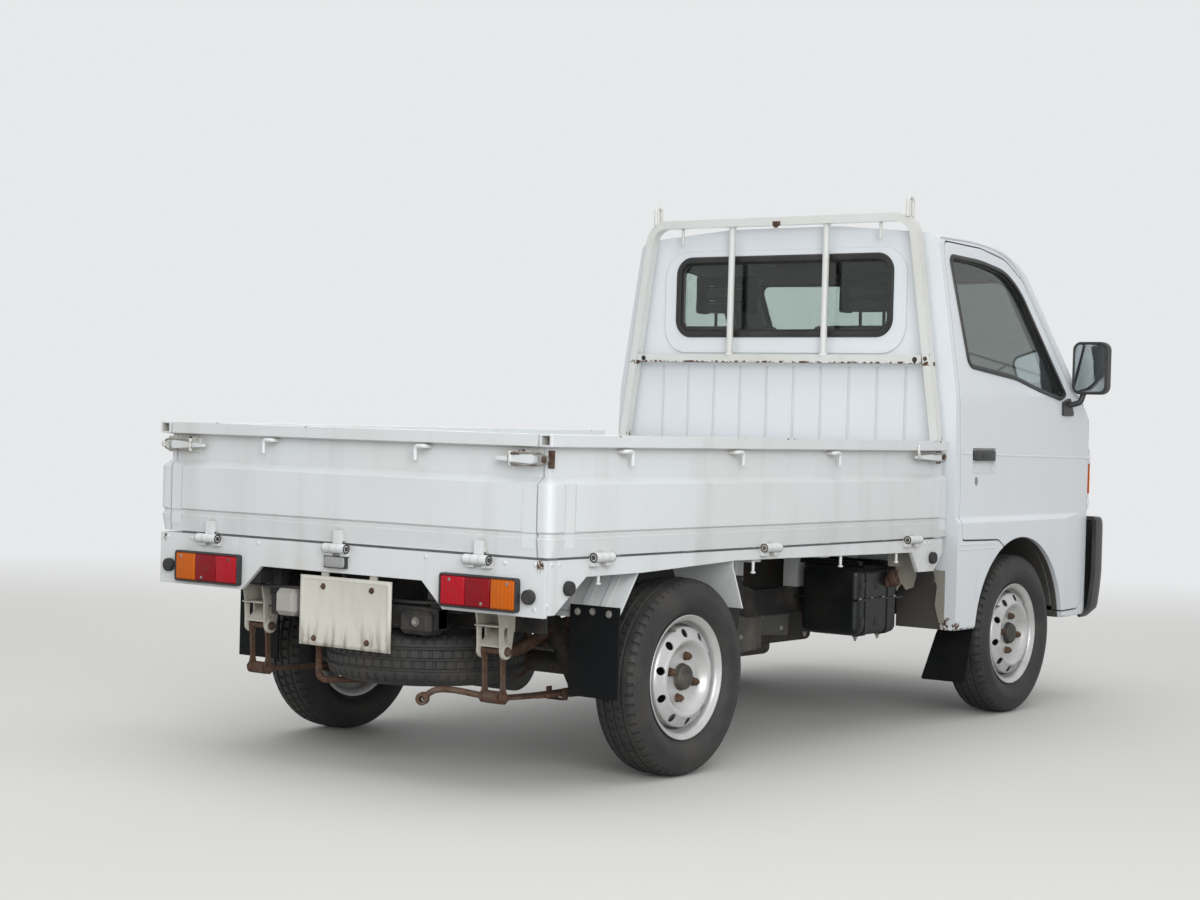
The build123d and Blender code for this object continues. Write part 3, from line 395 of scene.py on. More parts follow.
def lens(name, colour, deep, ribs):
    # moulded lens with fine ribs on its back
    finish = Finish(name, roughness=0.16, specularIorLevel=0.22)
    soft = finish.rounded(0.002)
    wave = finish.node("ShaderNodeTexWave", {"bands_direction": "Y"}, {"Vector": finish.place, "Scale": ribs})
    # dirt and painted shade: ambient occlusion darkens the lens in its crevices, noise adds dirt
    dirtAndShade = (finish.crevice(0.01).rise(0.1, 0.8) * 0.6 + finish.noise(30.0, 4).rise(0.5, 0.8) * 0.2).least(0.8)
    base = finish.mix(wave * 0.35, colour, deep)
    finish.set("baseColor", finish.mix(dirtAndShade, base, (0.1, 0.07, 0.05)))
    finish.bump(wave, 0.0003, 0.2, soft)
    return finish.material


def windowGlass(name, tint):
    finish = Finish(name, transmissionWeight=1.0)
    film = finish.noise(3.0, 4).rise(0.45, 0.8) * 0.04
    finish.set("baseColor", finish.mix(film, tint, (0.5, 0.5, 0.48)))
    finish.set("roughness", film + 0.01)
    return finish.material


def clearLens():
    # ribbed glass over a silvered bowl
    finish = Finish("clearLens", coatWeight=1.0, coatRoughness=0.03, metallic=0.75)
    wave = finish.node("ShaderNodeTexWave", {"bands_direction": "Y"}, {"Vector": finish.place, "Scale": 11.0})
    cloud = finish.noise(9.0, 2)
    finish.set("baseColor", finish.mix(wave * 0.6 + cloud * 0.4, (0.86, 0.88, 0.9), (0.5, 0.53, 0.56)))
    finish.set("roughness", cloud * 0.2 + 0.12)
    finish.bump(wave, 0.004, 0.7)
    return finish.material


def mirrorGlass():
    finish = Finish("mirrorGlass", metallic=1.0)
    film = finish.noise(20.0, 4).rise(0.5, 0.8) * 0.12
    finish.set("baseColor", finish.mix(film, (0.27, 0.3, 0.315), (0.2, 0.2, 0.2)))
    finish.set("roughness", film + 0.02)
    return finish.material


def seatCloth(name, colour, dark):
    finish = Finish(name, sheenWeight=0.3, sheenRoughness=0.5)
    weave = finish.node("ShaderNodeTexWave", {"bands_direction": "Y"},
                        {"Vector": finish.place, "Scale": 190.0})
    cross = finish.node("ShaderNodeTexWave", {"bands_direction": "Z"},
                        {"Vector": finish.place, "Scale": 190.0})
    worn = finish.noise(6.0, 5).rise(0.4, 0.75)
    finish.set("baseColor", finish.mix((weave * cross * 0.6 + worn * 0.35).least(1.0), colour, dark))
    finish.set("roughness", worn * 0.1 + 0.82)
    finish.bump(weave + cross, 0.0006, 0.5)
    return finish.material


def plateFinish():
    finish = Finish("plateFinish", metallic=0.0)
    z = finish.axes()[2]
    soft = finish.rounded(0.002)
    streaks = finish.noise(55.0, 6, stretch=(1, 1, 0.2)).rise(0.44, 0.7)
    foot = 1 - z.rise(0.325, 0.43)
    crevice = finish.crevice(0.012).rise(0.1, 0.7)
    # grime and painted shade: streaks and a darkening towards the bottom, and painted shade in the rim's
    # crevices from ambient occlusion
    grime = (foot * streaks * 0.55 + foot * foot * 0.25 + crevice * 0.6 + streaks * 0.07).least(0.85)
    colour = finish.mix(grime, (0.66, 0.65, 0.585), (0.17, 0.135, 0.1))
    finish.set("baseColor", colour)
    finish.set("roughness", grime * 0.4 + 0.38)
    finish.bump(finish.noise(200.0, 3), 0.0004, 0.3, soft)
    return finish.material


tyreFinish = tyreRubber()
wheelSilver = wheelPaint("wheelSilver", 0.8)
wheelDirty = wheelPaint("wheelDirty", 1.2)
hubFinish = dustyBlack("hubFinish", (0.03, 0.028, 0.026), 0.75, 0.55, 160.0)
castGrey = rustySteel("castGrey", (0.048, 0.046, 0.042), 0.08)
rustyIron = rustySteel("rustyIron", (0.1, 0.068, 0.048), 0.85)
dullSteel = rustySteel("dullSteel", (0.28, 0.27, 0.25), 0.25)
redLens = lens("redLens", (0.26, 0.002, 0.008), (0.13, 0.001, 0.004), 26.0)
brightRedLens = lens("brightRedLens", (0.48, 0.004, 0.016), (0.26, 0.002, 0.008), 26.0)
amberLens = lens("amberLens", (0.6, 0.125, 0.003), (0.36, 0.062, 0.002), 26.0)
tintedGlass = windowGlass("tintedGlass", (0.36, 0.4, 0.385))
headlampGlass = clearLens()
mirrorFinish = mirrorGlass()
seatGrey = seatCloth("seatGrey", (0.105, 0.112, 0.112), (0.055, 0.058, 0.06))
plateWhite = plateFinish()
print("finishes made")

slotFinish = {
    "cab_white": cabWhite, "bed_white": bedWhite, "aged_white": agedWhite, "glass": tintedGlass,
    "black_plastic": blackPlastic, "clear_lens": headlampGlass, "amber_lens": amberLens, "red_lens": redLens,
    "frame_black": frameBlack, "plate_white": plateWhite, "rubber": rubberBlack, "tyre": tyreFinish,
    "wheel_silver": wheelSilver, "cast_grey": castGrey, "rusty_steel": rustyIron, "seat_vinyl": seatGrey,
    "trim_grey": trimGrey,
}
ownFinish = {"fuel_tank": tankBlack, "mud_flaps": flapRubber, "front_bumper": blackPlastic,
             "rim_front_left": wheelDirty, "rim_front_right": wheelDirty, "spare_rim": wheelDirty}
nodeSlot = {part["node"]: part["material_slot"] for part in frame["record"]["subparts"]}
for name, node in nodes.items():
    material = ownFinish.get(name) or slotFinish[nodeSlot[name]]
    node.data.materials.clear()
    node.data.materials.append(material)


# Making shapes
mergeDistance = 0.00002


def fore(x):
    return frontAxle + x


def newPiece(bm, name, material, body="chassis", replaced=(), smooth=32.0):
    bmesh.ops.remove_doubles(bm, verts=bm.verts, dist=mergeDistance)
    bmesh.ops.recalc_face_normals(bm, faces=bm.faces)
    mesh = bpy.data.meshes.new(name)
    bm.to_mesh(mesh)
    bm.free()
    mesh.shade_smooth()
    mesh.set_sharp_from_angle(angle=math.radians(smooth))
    mesh.materials.append(material)
    piece = bpy.data.objects.new(name, mesh)
    scene.collection.objects.link(piece)
    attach(piece, body)
    if replaced:
        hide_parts(*replaced)
    return piece


def capEdges(made):
    # rims of the two end faces of a cone or a rod
    return list({edge for vert in made for edge in vert.link_edges
                 if any(len(f.verts) > 4 for f in edge.link_faces)})


def soften(bm, edges, width, segments=2):
    bmesh.ops.bevel(bm, geom=edges, offset=width, segments=segments, profile=0.5, affect="EDGES", material=-1)


def splitLong(bm, length, cuts):
    long = [edge for edge in bm.edges if edge.calc_length() > length]
    bmesh.ops.subdivide_edges(bm, edges=long, cuts=cuts, use_grid_fill=True)


def vertsOf(geom):
    return [item for item in geom if isinstance(item, bmesh.types.BMVert)]


def tilted(degrees):
    return Matrix.Rotation(math.radians(degrees), 4, "Y")


def addBlock(bm, low, high, soft=0.002, segments=2, turn=None):
    # between two opposite corners
    low, high = (Vector([pick(pair) for pair in zip(low, high)]) for pick in (min, max))
    place = Matrix.Translation((low + high) / 2) @ (turn or Matrix()) @ Matrix.Diagonal((*(high - low), 1))
    made = bmesh.ops.create_cube(bm, size=1.0, matrix=place)["verts"]
    if soft:
        soften(bm, list({edge for vert in made for edge in vert.link_edges}), soft, segments)


def addRod(bm, start, end, radius, farRadius=None, segments=20, soft=0.0):
    way = Vector(end) - Vector(start)
    turn = way.to_track_quat("Z", "Y").to_matrix().to_4x4()
    place = Matrix.Translation((Vector(start) + Vector(end)) / 2) @ turn
    made = bmesh.ops.create_cone(
        bm, cap_ends=True, segments=segments, radius1=radius,
        radius2=radius if farRadius is None else farRadius, depth=way.length, matrix=place)["verts"]
    if soft:
        soften(bm, capEdges(made), soft)


def addPlate(bm, corners, depth, soft=0.0, segments=2):
    face = bm.faces.new([bm.verts.new(corner) for corner in corners])
    verts = vertsOf(bmesh.ops.extrude_face_region(bm, geom=[face])["geom"])
    bmesh.ops.translate(bm, vec=Vector(depth), verts=verts)
    if soft:
        verts += face.verts if face.is_valid else []
        soften(bm, list({edge for vert in verts for edge in vert.link_edges}), soft, segments)


def addSpun(bm, section, centre, axis, steps, closed=False):
    # section: distance along the axis, and radius
    way = Vector(axis).normalized()
    side = way.orthogonal().normalized()
    verts = [bm.verts.new(Vector(centre) + way * along + side * radius) for along, radius in section]
    edges = [bm.edges.new(pair) for pair in zip(verts, verts[1:])]
    if closed:
        edges.append(bm.edges.new((verts[-1], verts[0])))
    bmesh.ops.spin(
        bm, geom=verts + edges, cent=centre, axis=way, angle=math.tau, steps=steps, use_merge=True)


def addHead(bm, place, way, radius, height, sides=6):
    # hexagonal bolt head on a washer
    start = Vector(place)
    way = Vector(way).normalized()
    addRod(bm, start, start + way * height * 0.25, radius * 1.45, segments=16)
    addRod(bm, start + way * height * 0.2, start + way * height, radius, segments=sides, soft=radius * 0.12)


def ringed(bm, corners, rings, out, keepMiddle=True, turns=6):
    # a flat outline of (place, cut), with rings of (width, rise) inset one after the other
    verts = [bm.verts.new(place) for place, cut in corners]
    bm.faces.new(verts)
    for vert, (place, cut) in zip(verts, corners):
        if cut:
            bmesh.ops.bevel(
                bm, geom=[vert], offset=cut, segments=turns, profile=0.5, affect="VERTICES", material=-1)
    bm.faces.ensure_lookup_table()
    face = bm.faces[0]
    for width, rise in rings:
        bmesh.ops.inset_region(bm, faces=[face], thickness=width, use_even_offset=True, use_boundary=True)
        bmesh.ops.translate(bm, vec=Vector(out) * rise, verts=list(face.verts))
    if not keepMiddle:
        bmesh.ops.delete(bm, geom=[face], context="FACES_ONLY")


def alongTruck(route):
    return [(ahead(x), y, z) for x, y, z in route]


def makeWires(name, routes, radius, material, body="chassis"):
    data = bpy.data.curves.new(name, "CURVE")
    data.dimensions = "3D"
    data.bevel_depth = radius
    data.bevel_resolution = 3
    data.resolution_u = 8
    data.use_fill_caps = True
    for route in routes:
        spline = data.splines.new("NURBS")
        spline.points.add(len(route) - 1)
        for knot, place in zip(spline.points, route):
            knot.co = (*place, 1)
        spline.order_u = 3
        spline.use_endpoint_u = True
    data.materials.append(material)
    wires = bpy.data.objects.new(name, data)
    scene.collection.objects.link(wires)
    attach(wires, body)
    return wires


sides = {"left": 1, "right": -1}

# Tyres with their tread
tyreLook = {"radius": 0.265, "half": 0.0735, "bead": 0.152, "lip": 0.167, "steps": 180, "groove": 0.007,
            "grooves": (-0.028, 0.0, 0.028), "grooveHalf": 0.004, "sipeWidth": 0.0016, "sipeDepth": 0.005}


def tyreSection(look):
    half, radius, lip = look["half"], look["radius"], look["lip"]
    shoulder = [
        (0.0385, look["bead"]), (0.044, look["bead"] + 0.0028), (0.048, look["bead"] + 0.0075),
        (0.0505, lip - 0.002), (0.0505, lip + 0.003), (0.054, lip + 0.008), (0.06, lip + 0.013),
        (0.0655, lip + 0.019), (0.07, lip + 0.027), (half - 0.001, lip + 0.036), (half, lip + 0.043),
        (half + 0.0006, lip + 0.047), (half, lip + 0.051), (half - 0.002, lip + 0.059),
        (half - 0.006, radius - 0.03), (half - 0.009, radius - 0.022), (half - 0.0125, radius - 0.014),
        (half - 0.017, radius - 0.008), (half - 0.023, radius - 0.0042), (0.041, radius - 0.0024)]
    tread = []
    for middle in reversed(look["grooves"]):
        rise = radius - 0.0012 if middle else radius
        tread += [
            (middle + look["grooveHalf"] + 0.001, rise), (middle + look["grooveHalf"], rise - 0.001),
            (middle + look["grooveHalf"] * 0.7, rise - look["groove"]),
            (middle - look["grooveHalf"] * 0.7, rise - look["groove"]),
            (middle - look["grooveHalf"], rise - 0.001), (middle - look["grooveHalf"] - 0.001, rise)]
    return shoulder + tread + [(-along, distance) for along, distance in reversed(shoulder)]


def makeTyre(name, body, centre, axis):
    look = tyreLook
    bm = bmesh.new()
    addSpun(bm, tyreSection(look), centre, axis, look["steps"], closed=True)
    bmesh.ops.remove_doubles(bm, verts=bm.verts, dist=mergeDistance)
    way = Vector(axis).normalized()
    first = way.orthogonal().normalized()
    second = way.cross(first)
    pitch = math.tau / look["steps"]
    for row, (low, high) in enumerate(((0.0415, 0.064), (-0.064, -0.0415), (0.006, 0.022), (-0.022, -0.006))):
        blocks = []
        for face in bm.faces:
            middle = face.calc_center_median() - Vector(centre)
            along = middle.dot(way)
            distance = (middle - way * along).length
            if low < along < high and distance > look["radius"] - 0.016:
                turn = math.atan2(middle.dot(second), middle.dot(first)) % math.tau
                if int(turn / pitch) % 3 == row % 3:
                    blocks.append(face)
        bmesh.ops.inset_individual(bm, faces=blocks, thickness=look["sipeWidth"], depth=-look["sipeDepth"])
    newPiece(bm, name + "Tread", tyreFinish, body, (name,), smooth=40)


def middleOf(node):
    low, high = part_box(node)
    return (low + high) / 2


for name in ("rear_left", "rear_right", "front_left", "front_right"):
    makeTyre("tyre_" + name, "wheel_" + name, middleOf("tyre_" + name), (0, 1, 0))
makeTyre("spare_wheel", "chassis", middleOf("spare_wheel"), (0, 0, 1))
print("tyres made")

# Wheels: rolled rim, dished disc with round holes, nuts, cap and valve
wheelLook = {
    # distance out from the middle plane, and radius
    "barrel": [
        (0.054, 0.1672), (0.0556, 0.1662), (0.056, 0.1645), (0.055, 0.1626), (0.0525, 0.1605),
        (0.0492, 0.1558), (0.0455, 0.1516), (0.0405, 0.149), (0.034, 0.148), (0.027, 0.1468), (0.0215, 0.142),
        (0.018, 0.133), (0.013, 0.13), (-0.024, 0.129), (-0.03, 0.1465), (-0.048, 0.148), (-0.0515, 0.152),
        (-0.054, 0.16), (-0.0545, 0.1665), (-0.053, 0.1672), (-0.0505, 0.1655), (-0.05, 0.1519),
        (-0.026, 0.1519), (-0.02, 0.134), (0.018, 0.134), (0.026, 0.1519), (0.04, 0.1519),
        (0.0446, 0.1543), (0.0488, 0.159), (0.0512, 0.165)],
    "disc": [
        (0.012, 0.1305), (0.028, 0.1325), (0.037, 0.1345), (0.0405, 0.1345), (0.0435, 0.1328),
        (0.0475, 0.1275), (0.0515, 0.121), (0.0548, 0.115), (0.0566, 0.111), (0.0588, 0.1088),
        (0.061, 0.1058), (0.0618, 0.1022), (0.061, 0.0985), (0.0578, 0.094), (0.052, 0.0888), (0.046, 0.0838),
        (0.0405, 0.0783), (0.0377, 0.0728), (0.037, 0.068), (0.037, 0.03), (0.034, 0.03), (0.034, 0.069),
        (0.035, 0.0745), (0.0382, 0.0805), (0.044, 0.0863), (0.05, 0.0915), (0.0555, 0.0962), (0.0584, 0.1),
        (0.0588, 0.1022), (0.0582, 0.1045), (0.0562, 0.1068), (0.0538, 0.1095), (0.0518, 0.114),
        (0.0487, 0.1195), (0.0448, 0.1258), (0.0415, 0.1305), (0.0395, 0.1318), (0.037, 0.1318),
        (0.028, 0.1298), (0.012, 0.128)],
    "steps": 120, "vents": 10, "ventCircle": 0.1188, "vent": 0.0112, "nutCircle": 0.05715, "nut": 0.0105,
    "nutFoot": 0.0365, "nutHeight": 0.015,
    "cap": [(0.034, 0.0372), (0.0385, 0.0368), (0.04, 0.0345), (0.05, 0.0335), (0.054, 0.03), (0.0556, 0.022),
            (0.0556, 0.012), (0.0566, 0.011), (0.0566, 0.0)]}
wheelTable = [
    # wheel, degrees to the first hole and to the first nut, finish
    ("rear_right", 96, 73, wheelSilver), ("rear_left", 110, 20, wheelSilver),
    ("front_right", 119, 82, wheelDirty), ("front_left", 100, 55, wheelDirty)]


def aroundWheel(centre, degrees, radius, along):
    turn = math.radians(degrees)
    return centre + Vector((math.cos(turn) * radius, 0, math.sin(turn) * radius)) + along


def setMesh(piece):
    # keeps what the modifiers make as the piece's own mesh
    graph = bpy.context.evaluated_depsgraph_get()
    mesh = bpy.data.meshes.new_from_object(piece.evaluated_get(graph))
    piece.modifiers.clear()
    old = piece.data
    piece.data = mesh
    mesh.name = piece.name
    bpy.data.meshes.remove(old)


def cutHoles(piece, bm):
    mesh = bpy.data.meshes.new("punch")
    bm.to_mesh(mesh)
    bm.free()
    punch = bpy.data.objects.new("punch", mesh)
    scene.collection.objects.link(punch)
    cut = piece.modifiers.new("cut", "BOOLEAN")
    cut.operation = "DIFFERENCE"
    cut.object = punch
    setMesh(piece)
    bpy.data.objects.remove(punch)
    bpy.data.meshes.remove(mesh)


def makeWheelParts(name, centre, side, firstVent, firstNut, finish, look):
    out = Vector((0, side, 0))
    body = "wheel_" + name
    bm = bmesh.new()
    addSpun(bm, look["disc"], centre, out, look["steps"], closed=True)
    disc = newPiece(bm, "wheelDisc_" + name, finish, body, ("rim_" + name,), smooth=34)
    punches = bmesh.new()
    for i in range(look["vents"]):
        place = aroundWheel(centre, firstVent + 360 / look["vents"] * i, look["ventCircle"], Vector())
        addRod(punches, place + out * 0.036, place + out * 0.07, look["vent"], None, 28)
    cutHoles(disc, punches)
    bm = bmesh.new()
    addSpun(bm, look["barrel"], centre, out, look["steps"], closed=True)
    newPiece(bm, "wheelRim_" + name, finish, body, smooth=40)
    nuts = bmesh.new()
    for i in range(4):
        foot = aroundWheel(centre, firstNut + 90 * i, look["nutCircle"], out * look["nutFoot"])
        addRod(nuts, foot, foot + out * 0.003, look["nut"] * 1.25, look["nut"] * 1.05, 20)
        addRod(nuts, foot + out * 0.002, foot + out * look["nutHeight"], look["nut"], None, 6, 0.0012)
        addSpun(nuts, [(look["nutHeight"] - 0.0002, 0.0062), (look["nutHeight"] + 0.0045, 0.0056),
                       (look["nutHeight"] + 0.0055, 0.0)], foot, out, 16)
    newPiece(nuts, "wheelNuts_" + name, rustyIron, body)
    cap = bmesh.new()
    addSpun(cap, look["cap"], centre, out, 48)
    valve = aroundWheel(centre, firstVent + 18, 0.14, out * 0.03)
    addRod(cap, valve, valve + out * 0.024, 0.0042, 0.003, 12, 0.0006)
    newPiece(cap, "wheelCap_" + name, hubFinish, body)


for name, firstVent, firstNut, finish in wheelTable:
    makeWheelParts(name, middleOf("rim_" + name), sides[name.split("_")[1]], firstVent, firstNut, finish,
                   wheelLook)
print("wheels dressed")

# The cab's outer surfaces, as heights and places read from the cab's drawing
cabLook = {"back": -0.46, "sideFoot": (0.646, 0.686), "sideStep": (0.662, 0.673), "sideWaist": (1.05, 0.665),
           "sideHead": (1.57, 0.583), "noseCentre": -2.115, "glassFoot": (0.537, 1.078),
           "glassHead": (0.207, 1.494)}
cabBack = fore(cabLook["back"])


def sideAt(z):
    # half width of the cab at a height
    table = [cabLook[word] for word in ("sideFoot", "sideStep", "sideWaist", "sideHead")]
    for (lowZ, lowY), (highZ, highY) in zip(table, table[1:]):
        if z <= highZ or highZ == table[-1][0]:
            share = (z - lowZ) / (highZ - lowZ)
            return lowY + (highY - lowY) * max(share, 0.0)


def bowed(x, y):
    # X on the bowed nose or windscreen, from the profile's X at the centre line
    reach = x - cabLook["noseCentre"]
    return fore(cabLook["noseCentre"] + math.sqrt(reach ** 2 - y ** 2))


def screenAt(y, z):
    (footX, footZ), (headX, headZ) = cabLook["glassFoot"], cabLook["glassHead"]
    return bowed(footX + (headX - footX) * (z - footZ) / (headZ - footZ), y)


# Rubbers round the windows
sideWindow = [
    # ahead of the front axle, height, corner cut
    (-0.408, 1.51, 0.036), (-0.356, 1.142, 0.034), (-0.026, 1.112, 0.02), (0.145, 1.076, 0.02),
    (0.301, 1.05, 0.016), (0.353, 1.07, 0.022), (0.077, 1.426, 0.05), (-0.021, 1.482, 0.04),
    (-0.188, 1.504, 0.04)]
rubberRings = [(0.0022, 0.0042), (0.006, 0.0012), (0.0055, -0.0018), (0.0022, -0.0125), (0.003, -0.001)]


def makeSideRubber(word, side):
    bm = bmesh.new()
    corners = [((fore(x), 0, z), cut) for x, z, cut in sideWindow]
    ringed(bm, corners[::-side], rubberRings, (0, side, 0), keepMiddle=False)
    for vert in bm.verts:
        vert.co.y += side * (sideAt(vert.co.z) + 0.0004)
    newPiece(bm, "windowRubber_" + word, gasketRubber, "door_" + word, smooth=50)


for word, side in sides.items():
    makeSideRubber(word, side)

rearRubber = {"half": 0.43, "low": 1.236, "high": 1.513, "cut": 0.062, "proud": 0.0042,
              "rings": [(0.003, 0.006), (0.01, 0.002), (0.008, -0.003), (0.004, -0.014), (0.003, -0.002)]}


def makeRearRubber(look):
    bm = bmesh.new()
    corners = [((cabBack - look["proud"], y, z), look["cut"]) for y, z in (
        (look["half"], look["low"]), (-look["half"], look["low"]), (-look["half"], look["high"]),
        (look["half"], look["high"]))]
    ringed(bm, corners, look["rings"], (-1, 0, 0), keepMiddle=False, turns=10)
    newPiece(bm, "rearWindowRubber", gasketRubber, smooth=50)


makeRearRubber(rearRubber)

screenRubber = {"corners": [(-0.568, 1.094), (0.568, 1.094), (0.517, 1.478), (-0.517, 1.478)], "cut": 0.055,
                "rings": [(0.003, 0.004), (0.012, 0.001), (0.006, -0.003), (0.003, -0.012)]}


def makeScreenRubber(look):
    # drawn flat, then laid on the bowed screen
    bm = bmesh.new()
    corners = [((0, y, z), look["cut"]) for y, z in look["corners"]]
    ringed(bm, corners, look["rings"], (1, 0, 0), keepMiddle=False, turns=10)
    splitLong(bm, 0.2, 12)
    for vert in bm.verts:
        vert.co.x += screenAt(vert.co.y, vert.co.z) + 0.0005
    newPiece(bm, "windscreenRubber", gasketRubber, smooth=50)


makeScreenRubber(screenRubber)
print("window rubbers made")

# Tail lamps: lenses that stand proud in a dark frame
tailPlane = ahead(-0.657)
lampLook = {
    "low": 0.474, "high": 0.548, "front": tailPlane - 0.0145, "proud": 0.0035, "frame": 0.0055,
    # name, inner and outer distance from the middle, finish
    "lenses": [("tailLensInner", 0.3665, 0.4445, brightRedLens, "red_lens"),
               ("tailLensOuter", 0.4465, 0.5265, redLens, "red_lens"),
               ("turnLens", 0.529, 0.6035, amberLens, "amber_lens")],
    "screws": (0.395, 0.5, 0.582),
}


def makeTailLamps(look):
    for word, side in sides.items():
        for name, inner, outer, finish, slotName in look["lenses"]:
            bm = bmesh.new()
            addBlock(bm, (look["front"] - look["proud"], side * inner, look["low"] + 0.0015),
                     (look["front"] + 0.004, side * outer, look["high"] - 0.0015), 0.0032, 4)
            newPiece(bm, name + "_" + word, finish)
        bm = bmesh.new()
        low, high = sorted((side * (0.365 - look["frame"]), side * (0.605 + look["frame"])))
        corners = [((look["front"] - 0.0012, y, z), 0.009) for y, z in (
            (low, look["low"] - look["frame"]), (low, look["high"] + look["frame"]),
            (high, look["high"] + look["frame"]), (high, look["low"] - look["frame"]))]
        ringed(bm, corners, [(look["frame"] - 0.0008, 0.0015), (0.0006, -0.003)], (-1, 0, 0),
               keepMiddle=False)
        rim = [edge for edge in bm.edges if edge.is_boundary and all(
            abs(v.co.x - look["front"] + 0.0012) < 0.0005 for v in edge.verts)]
        grown = bmesh.ops.extrude_edge_only(bm, edges=rim)["geom"]
        bmesh.ops.translate(bm, vec=(0.015, 0, 0), verts=vertsOf(grown))
        newPiece(bm, "lampFrame_" + word, blackPlastic)
        bm = bmesh.new()
        for y in look["screws"]:
            for z in (look["low"] + 0.01, look["high"] - 0.01):
                if (z > 0.51) == (y != 0.5):
                    start = Vector((look["front"] - look["proud"] + 0.001, side * y, z))
                    addSpun(bm, [(0.0, 0.0046), (0.0018, 0.0042), (0.0028, 0.0024), (0.003, 0.0)], start,
                            (-1, 0, 0), 14)
        newPiece(bm, "lampScrews_" + word, dullSteel)


makeTailLamps(lampLook)

lampGrey = dustyBlack("lampGrey", (0.34, 0.35, 0.35), 0.35, 0.3, 60.0)

# Number plate: blank, with its raised rim and bolts
plateLook = {"corners": [(-0.178, 0.331), (0.147, 0.331), (0.147, 0.515), (-0.178, 0.515)], "cut": 0.016,
             "rings": [(0.003, 0.0022), (0.006, 0.0006), (0.003, -0.0018)],
             "bolts": [(0.062, 0.488), (-0.111, 0.488), (0.092, 0.35), (-0.098, 0.352)]}


def makePlate(look):
    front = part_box("number_plate")[0].x - 0.0004
    bm = bmesh.new()
    ringed(bm, [((front, y, z), look["cut"]) for y, z in look["corners"]], look["rings"], (-1, 0, 0))
    newPiece(bm, "plateFace", plateWhite)
    bm = bmesh.new()
    for y, z in look["bolts"]:
        addHead(bm, (front - 0.0002, y, z), (-1, 0, 0), 0.0058, 0.007)
    newPiece(bm, "plateBolts", rustyIron)
    bm = bmesh.new()
    lampLow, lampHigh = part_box("plate_lamp")
    corners = [((lampLow.x - 0.0006, y, z), 0.007) for y, z in (
        (lampLow.y + 0.002, lampLow.z + 0.002), (lampHigh.y - 0.002, lampLow.z + 0.002),
        (lampHigh.y - 0.002, lampHigh.z - 0.002), (lampLow.y + 0.002, lampHigh.z - 0.002))]
    ringed(bm, corners, [(0.0015, 0.0022), (0.0035, 0.0012)], (-1, 0, 0))
    newPiece(bm, "plateLampLens", lampGrey)


makePlate(plateLook)
print("tail lamps and plate made")

# Gate latches: side wires, keepers, small plates
recessX = tailPlane + 0.024
latchZ = gateTop - 0.061
tailLatch = {"wire": 0.0028, "out": tailPlane - 0.003,
             # upper half of the loop: along, out from the middle, up
             "loop": [(0.0, 0.562, 0.0), (-0.004, 0.566, 0.015), (-0.003, 0.62, 0.015), (0.004, 0.676, 0.014),
                      (0.006, 0.684, 0.0)]}


def loopRoute(half, x, side, y, z):
    # the upper half of a wire loop, and its lower half mirrored
    whole = half + [(dx, dy, -dz) for dx, dy, dz in reversed(half[:-1])]
    return [(x + dx, side * (y + dy), z + dz) for dx, dy, dz in whole]


def makeTailLatch(word, side, look):
    out = look["out"]
    route = loopRoute(look["loop"], out, side, 0.0, latchZ)
    makeWires("tailLatchLoop_" + word, [route], look["wire"], dullSteel, "tailgate")
    bm = bmesh.new()
    addBlock(bm, (recessX - 0.004, side * 0.556, latchZ - 0.022),
             (recessX + 0.0005, side * 0.612, latchZ + 0.022), 0.0015)
    for y in (0.562, 0.606):
        addHead(bm, (recessX - 0.004, side * y, latchZ + 0.0165), (-1, 0, 0), 0.0035, 0.003)
    addRod(bm, (out - 0.002, side * 0.57, latchZ - 0.0175), (out - 0.002, side * 0.57, latchZ + 0.0175),
           0.0045, None, 14, 0.001)
    newPiece(bm, "tailLatchSeat_" + word, agedWhite, "tailgate")
    bm = bmesh.new()
    addBlock(bm, (recessX - 0.002, side * 0.668, latchZ - 0.022),
             (recessX + 0.0008, side * 0.688, latchZ + 0.022), 0.001)
    low, high = sorted((side * 0.674, side * 0.681))
    addBlock(bm, (out + 0.001, low, latchZ - 0.008), (recessX, high, latchZ + 0.008), 0.002)
    addBlock(bm, (out - 0.003, low, latchZ - 0.008), (out + 0.002, low + 0.012, latchZ + 0.008), 0.001)
    for z in (-0.016, 0.016):
        addHead(bm, (recessX - 0.002, side * 0.678, latchZ + z), (-1, 0, 0), 0.003, 0.003)
    newPiece(bm, "tailLatchKeeper_" + word, rustyIron if side < 0 else agedWhite,
             "side_gate_" + word)


for word, side in sides.items():
    makeTailLatch(word, side, tailLatch)

sideLatch = {"front": 1.291, "lever": 0.15, "wire": 0.0028,
             # along, out and up: upper half of the loop, and the lever
             "loop": [(-0.055, 0.002, 0.011), (-0.01, 0.004, 0.013), (0.022, -0.002, 0.013),
                      (0.034, -0.004, 0.0)],
             "pull": [(0.012, -0.004, -0.004), (0.012, 0.004, -0.004), (-0.004, 0.004, 0.008),
                      (-0.004, 0.003, 0.03), (0.004, 0.001, 0.036)]}


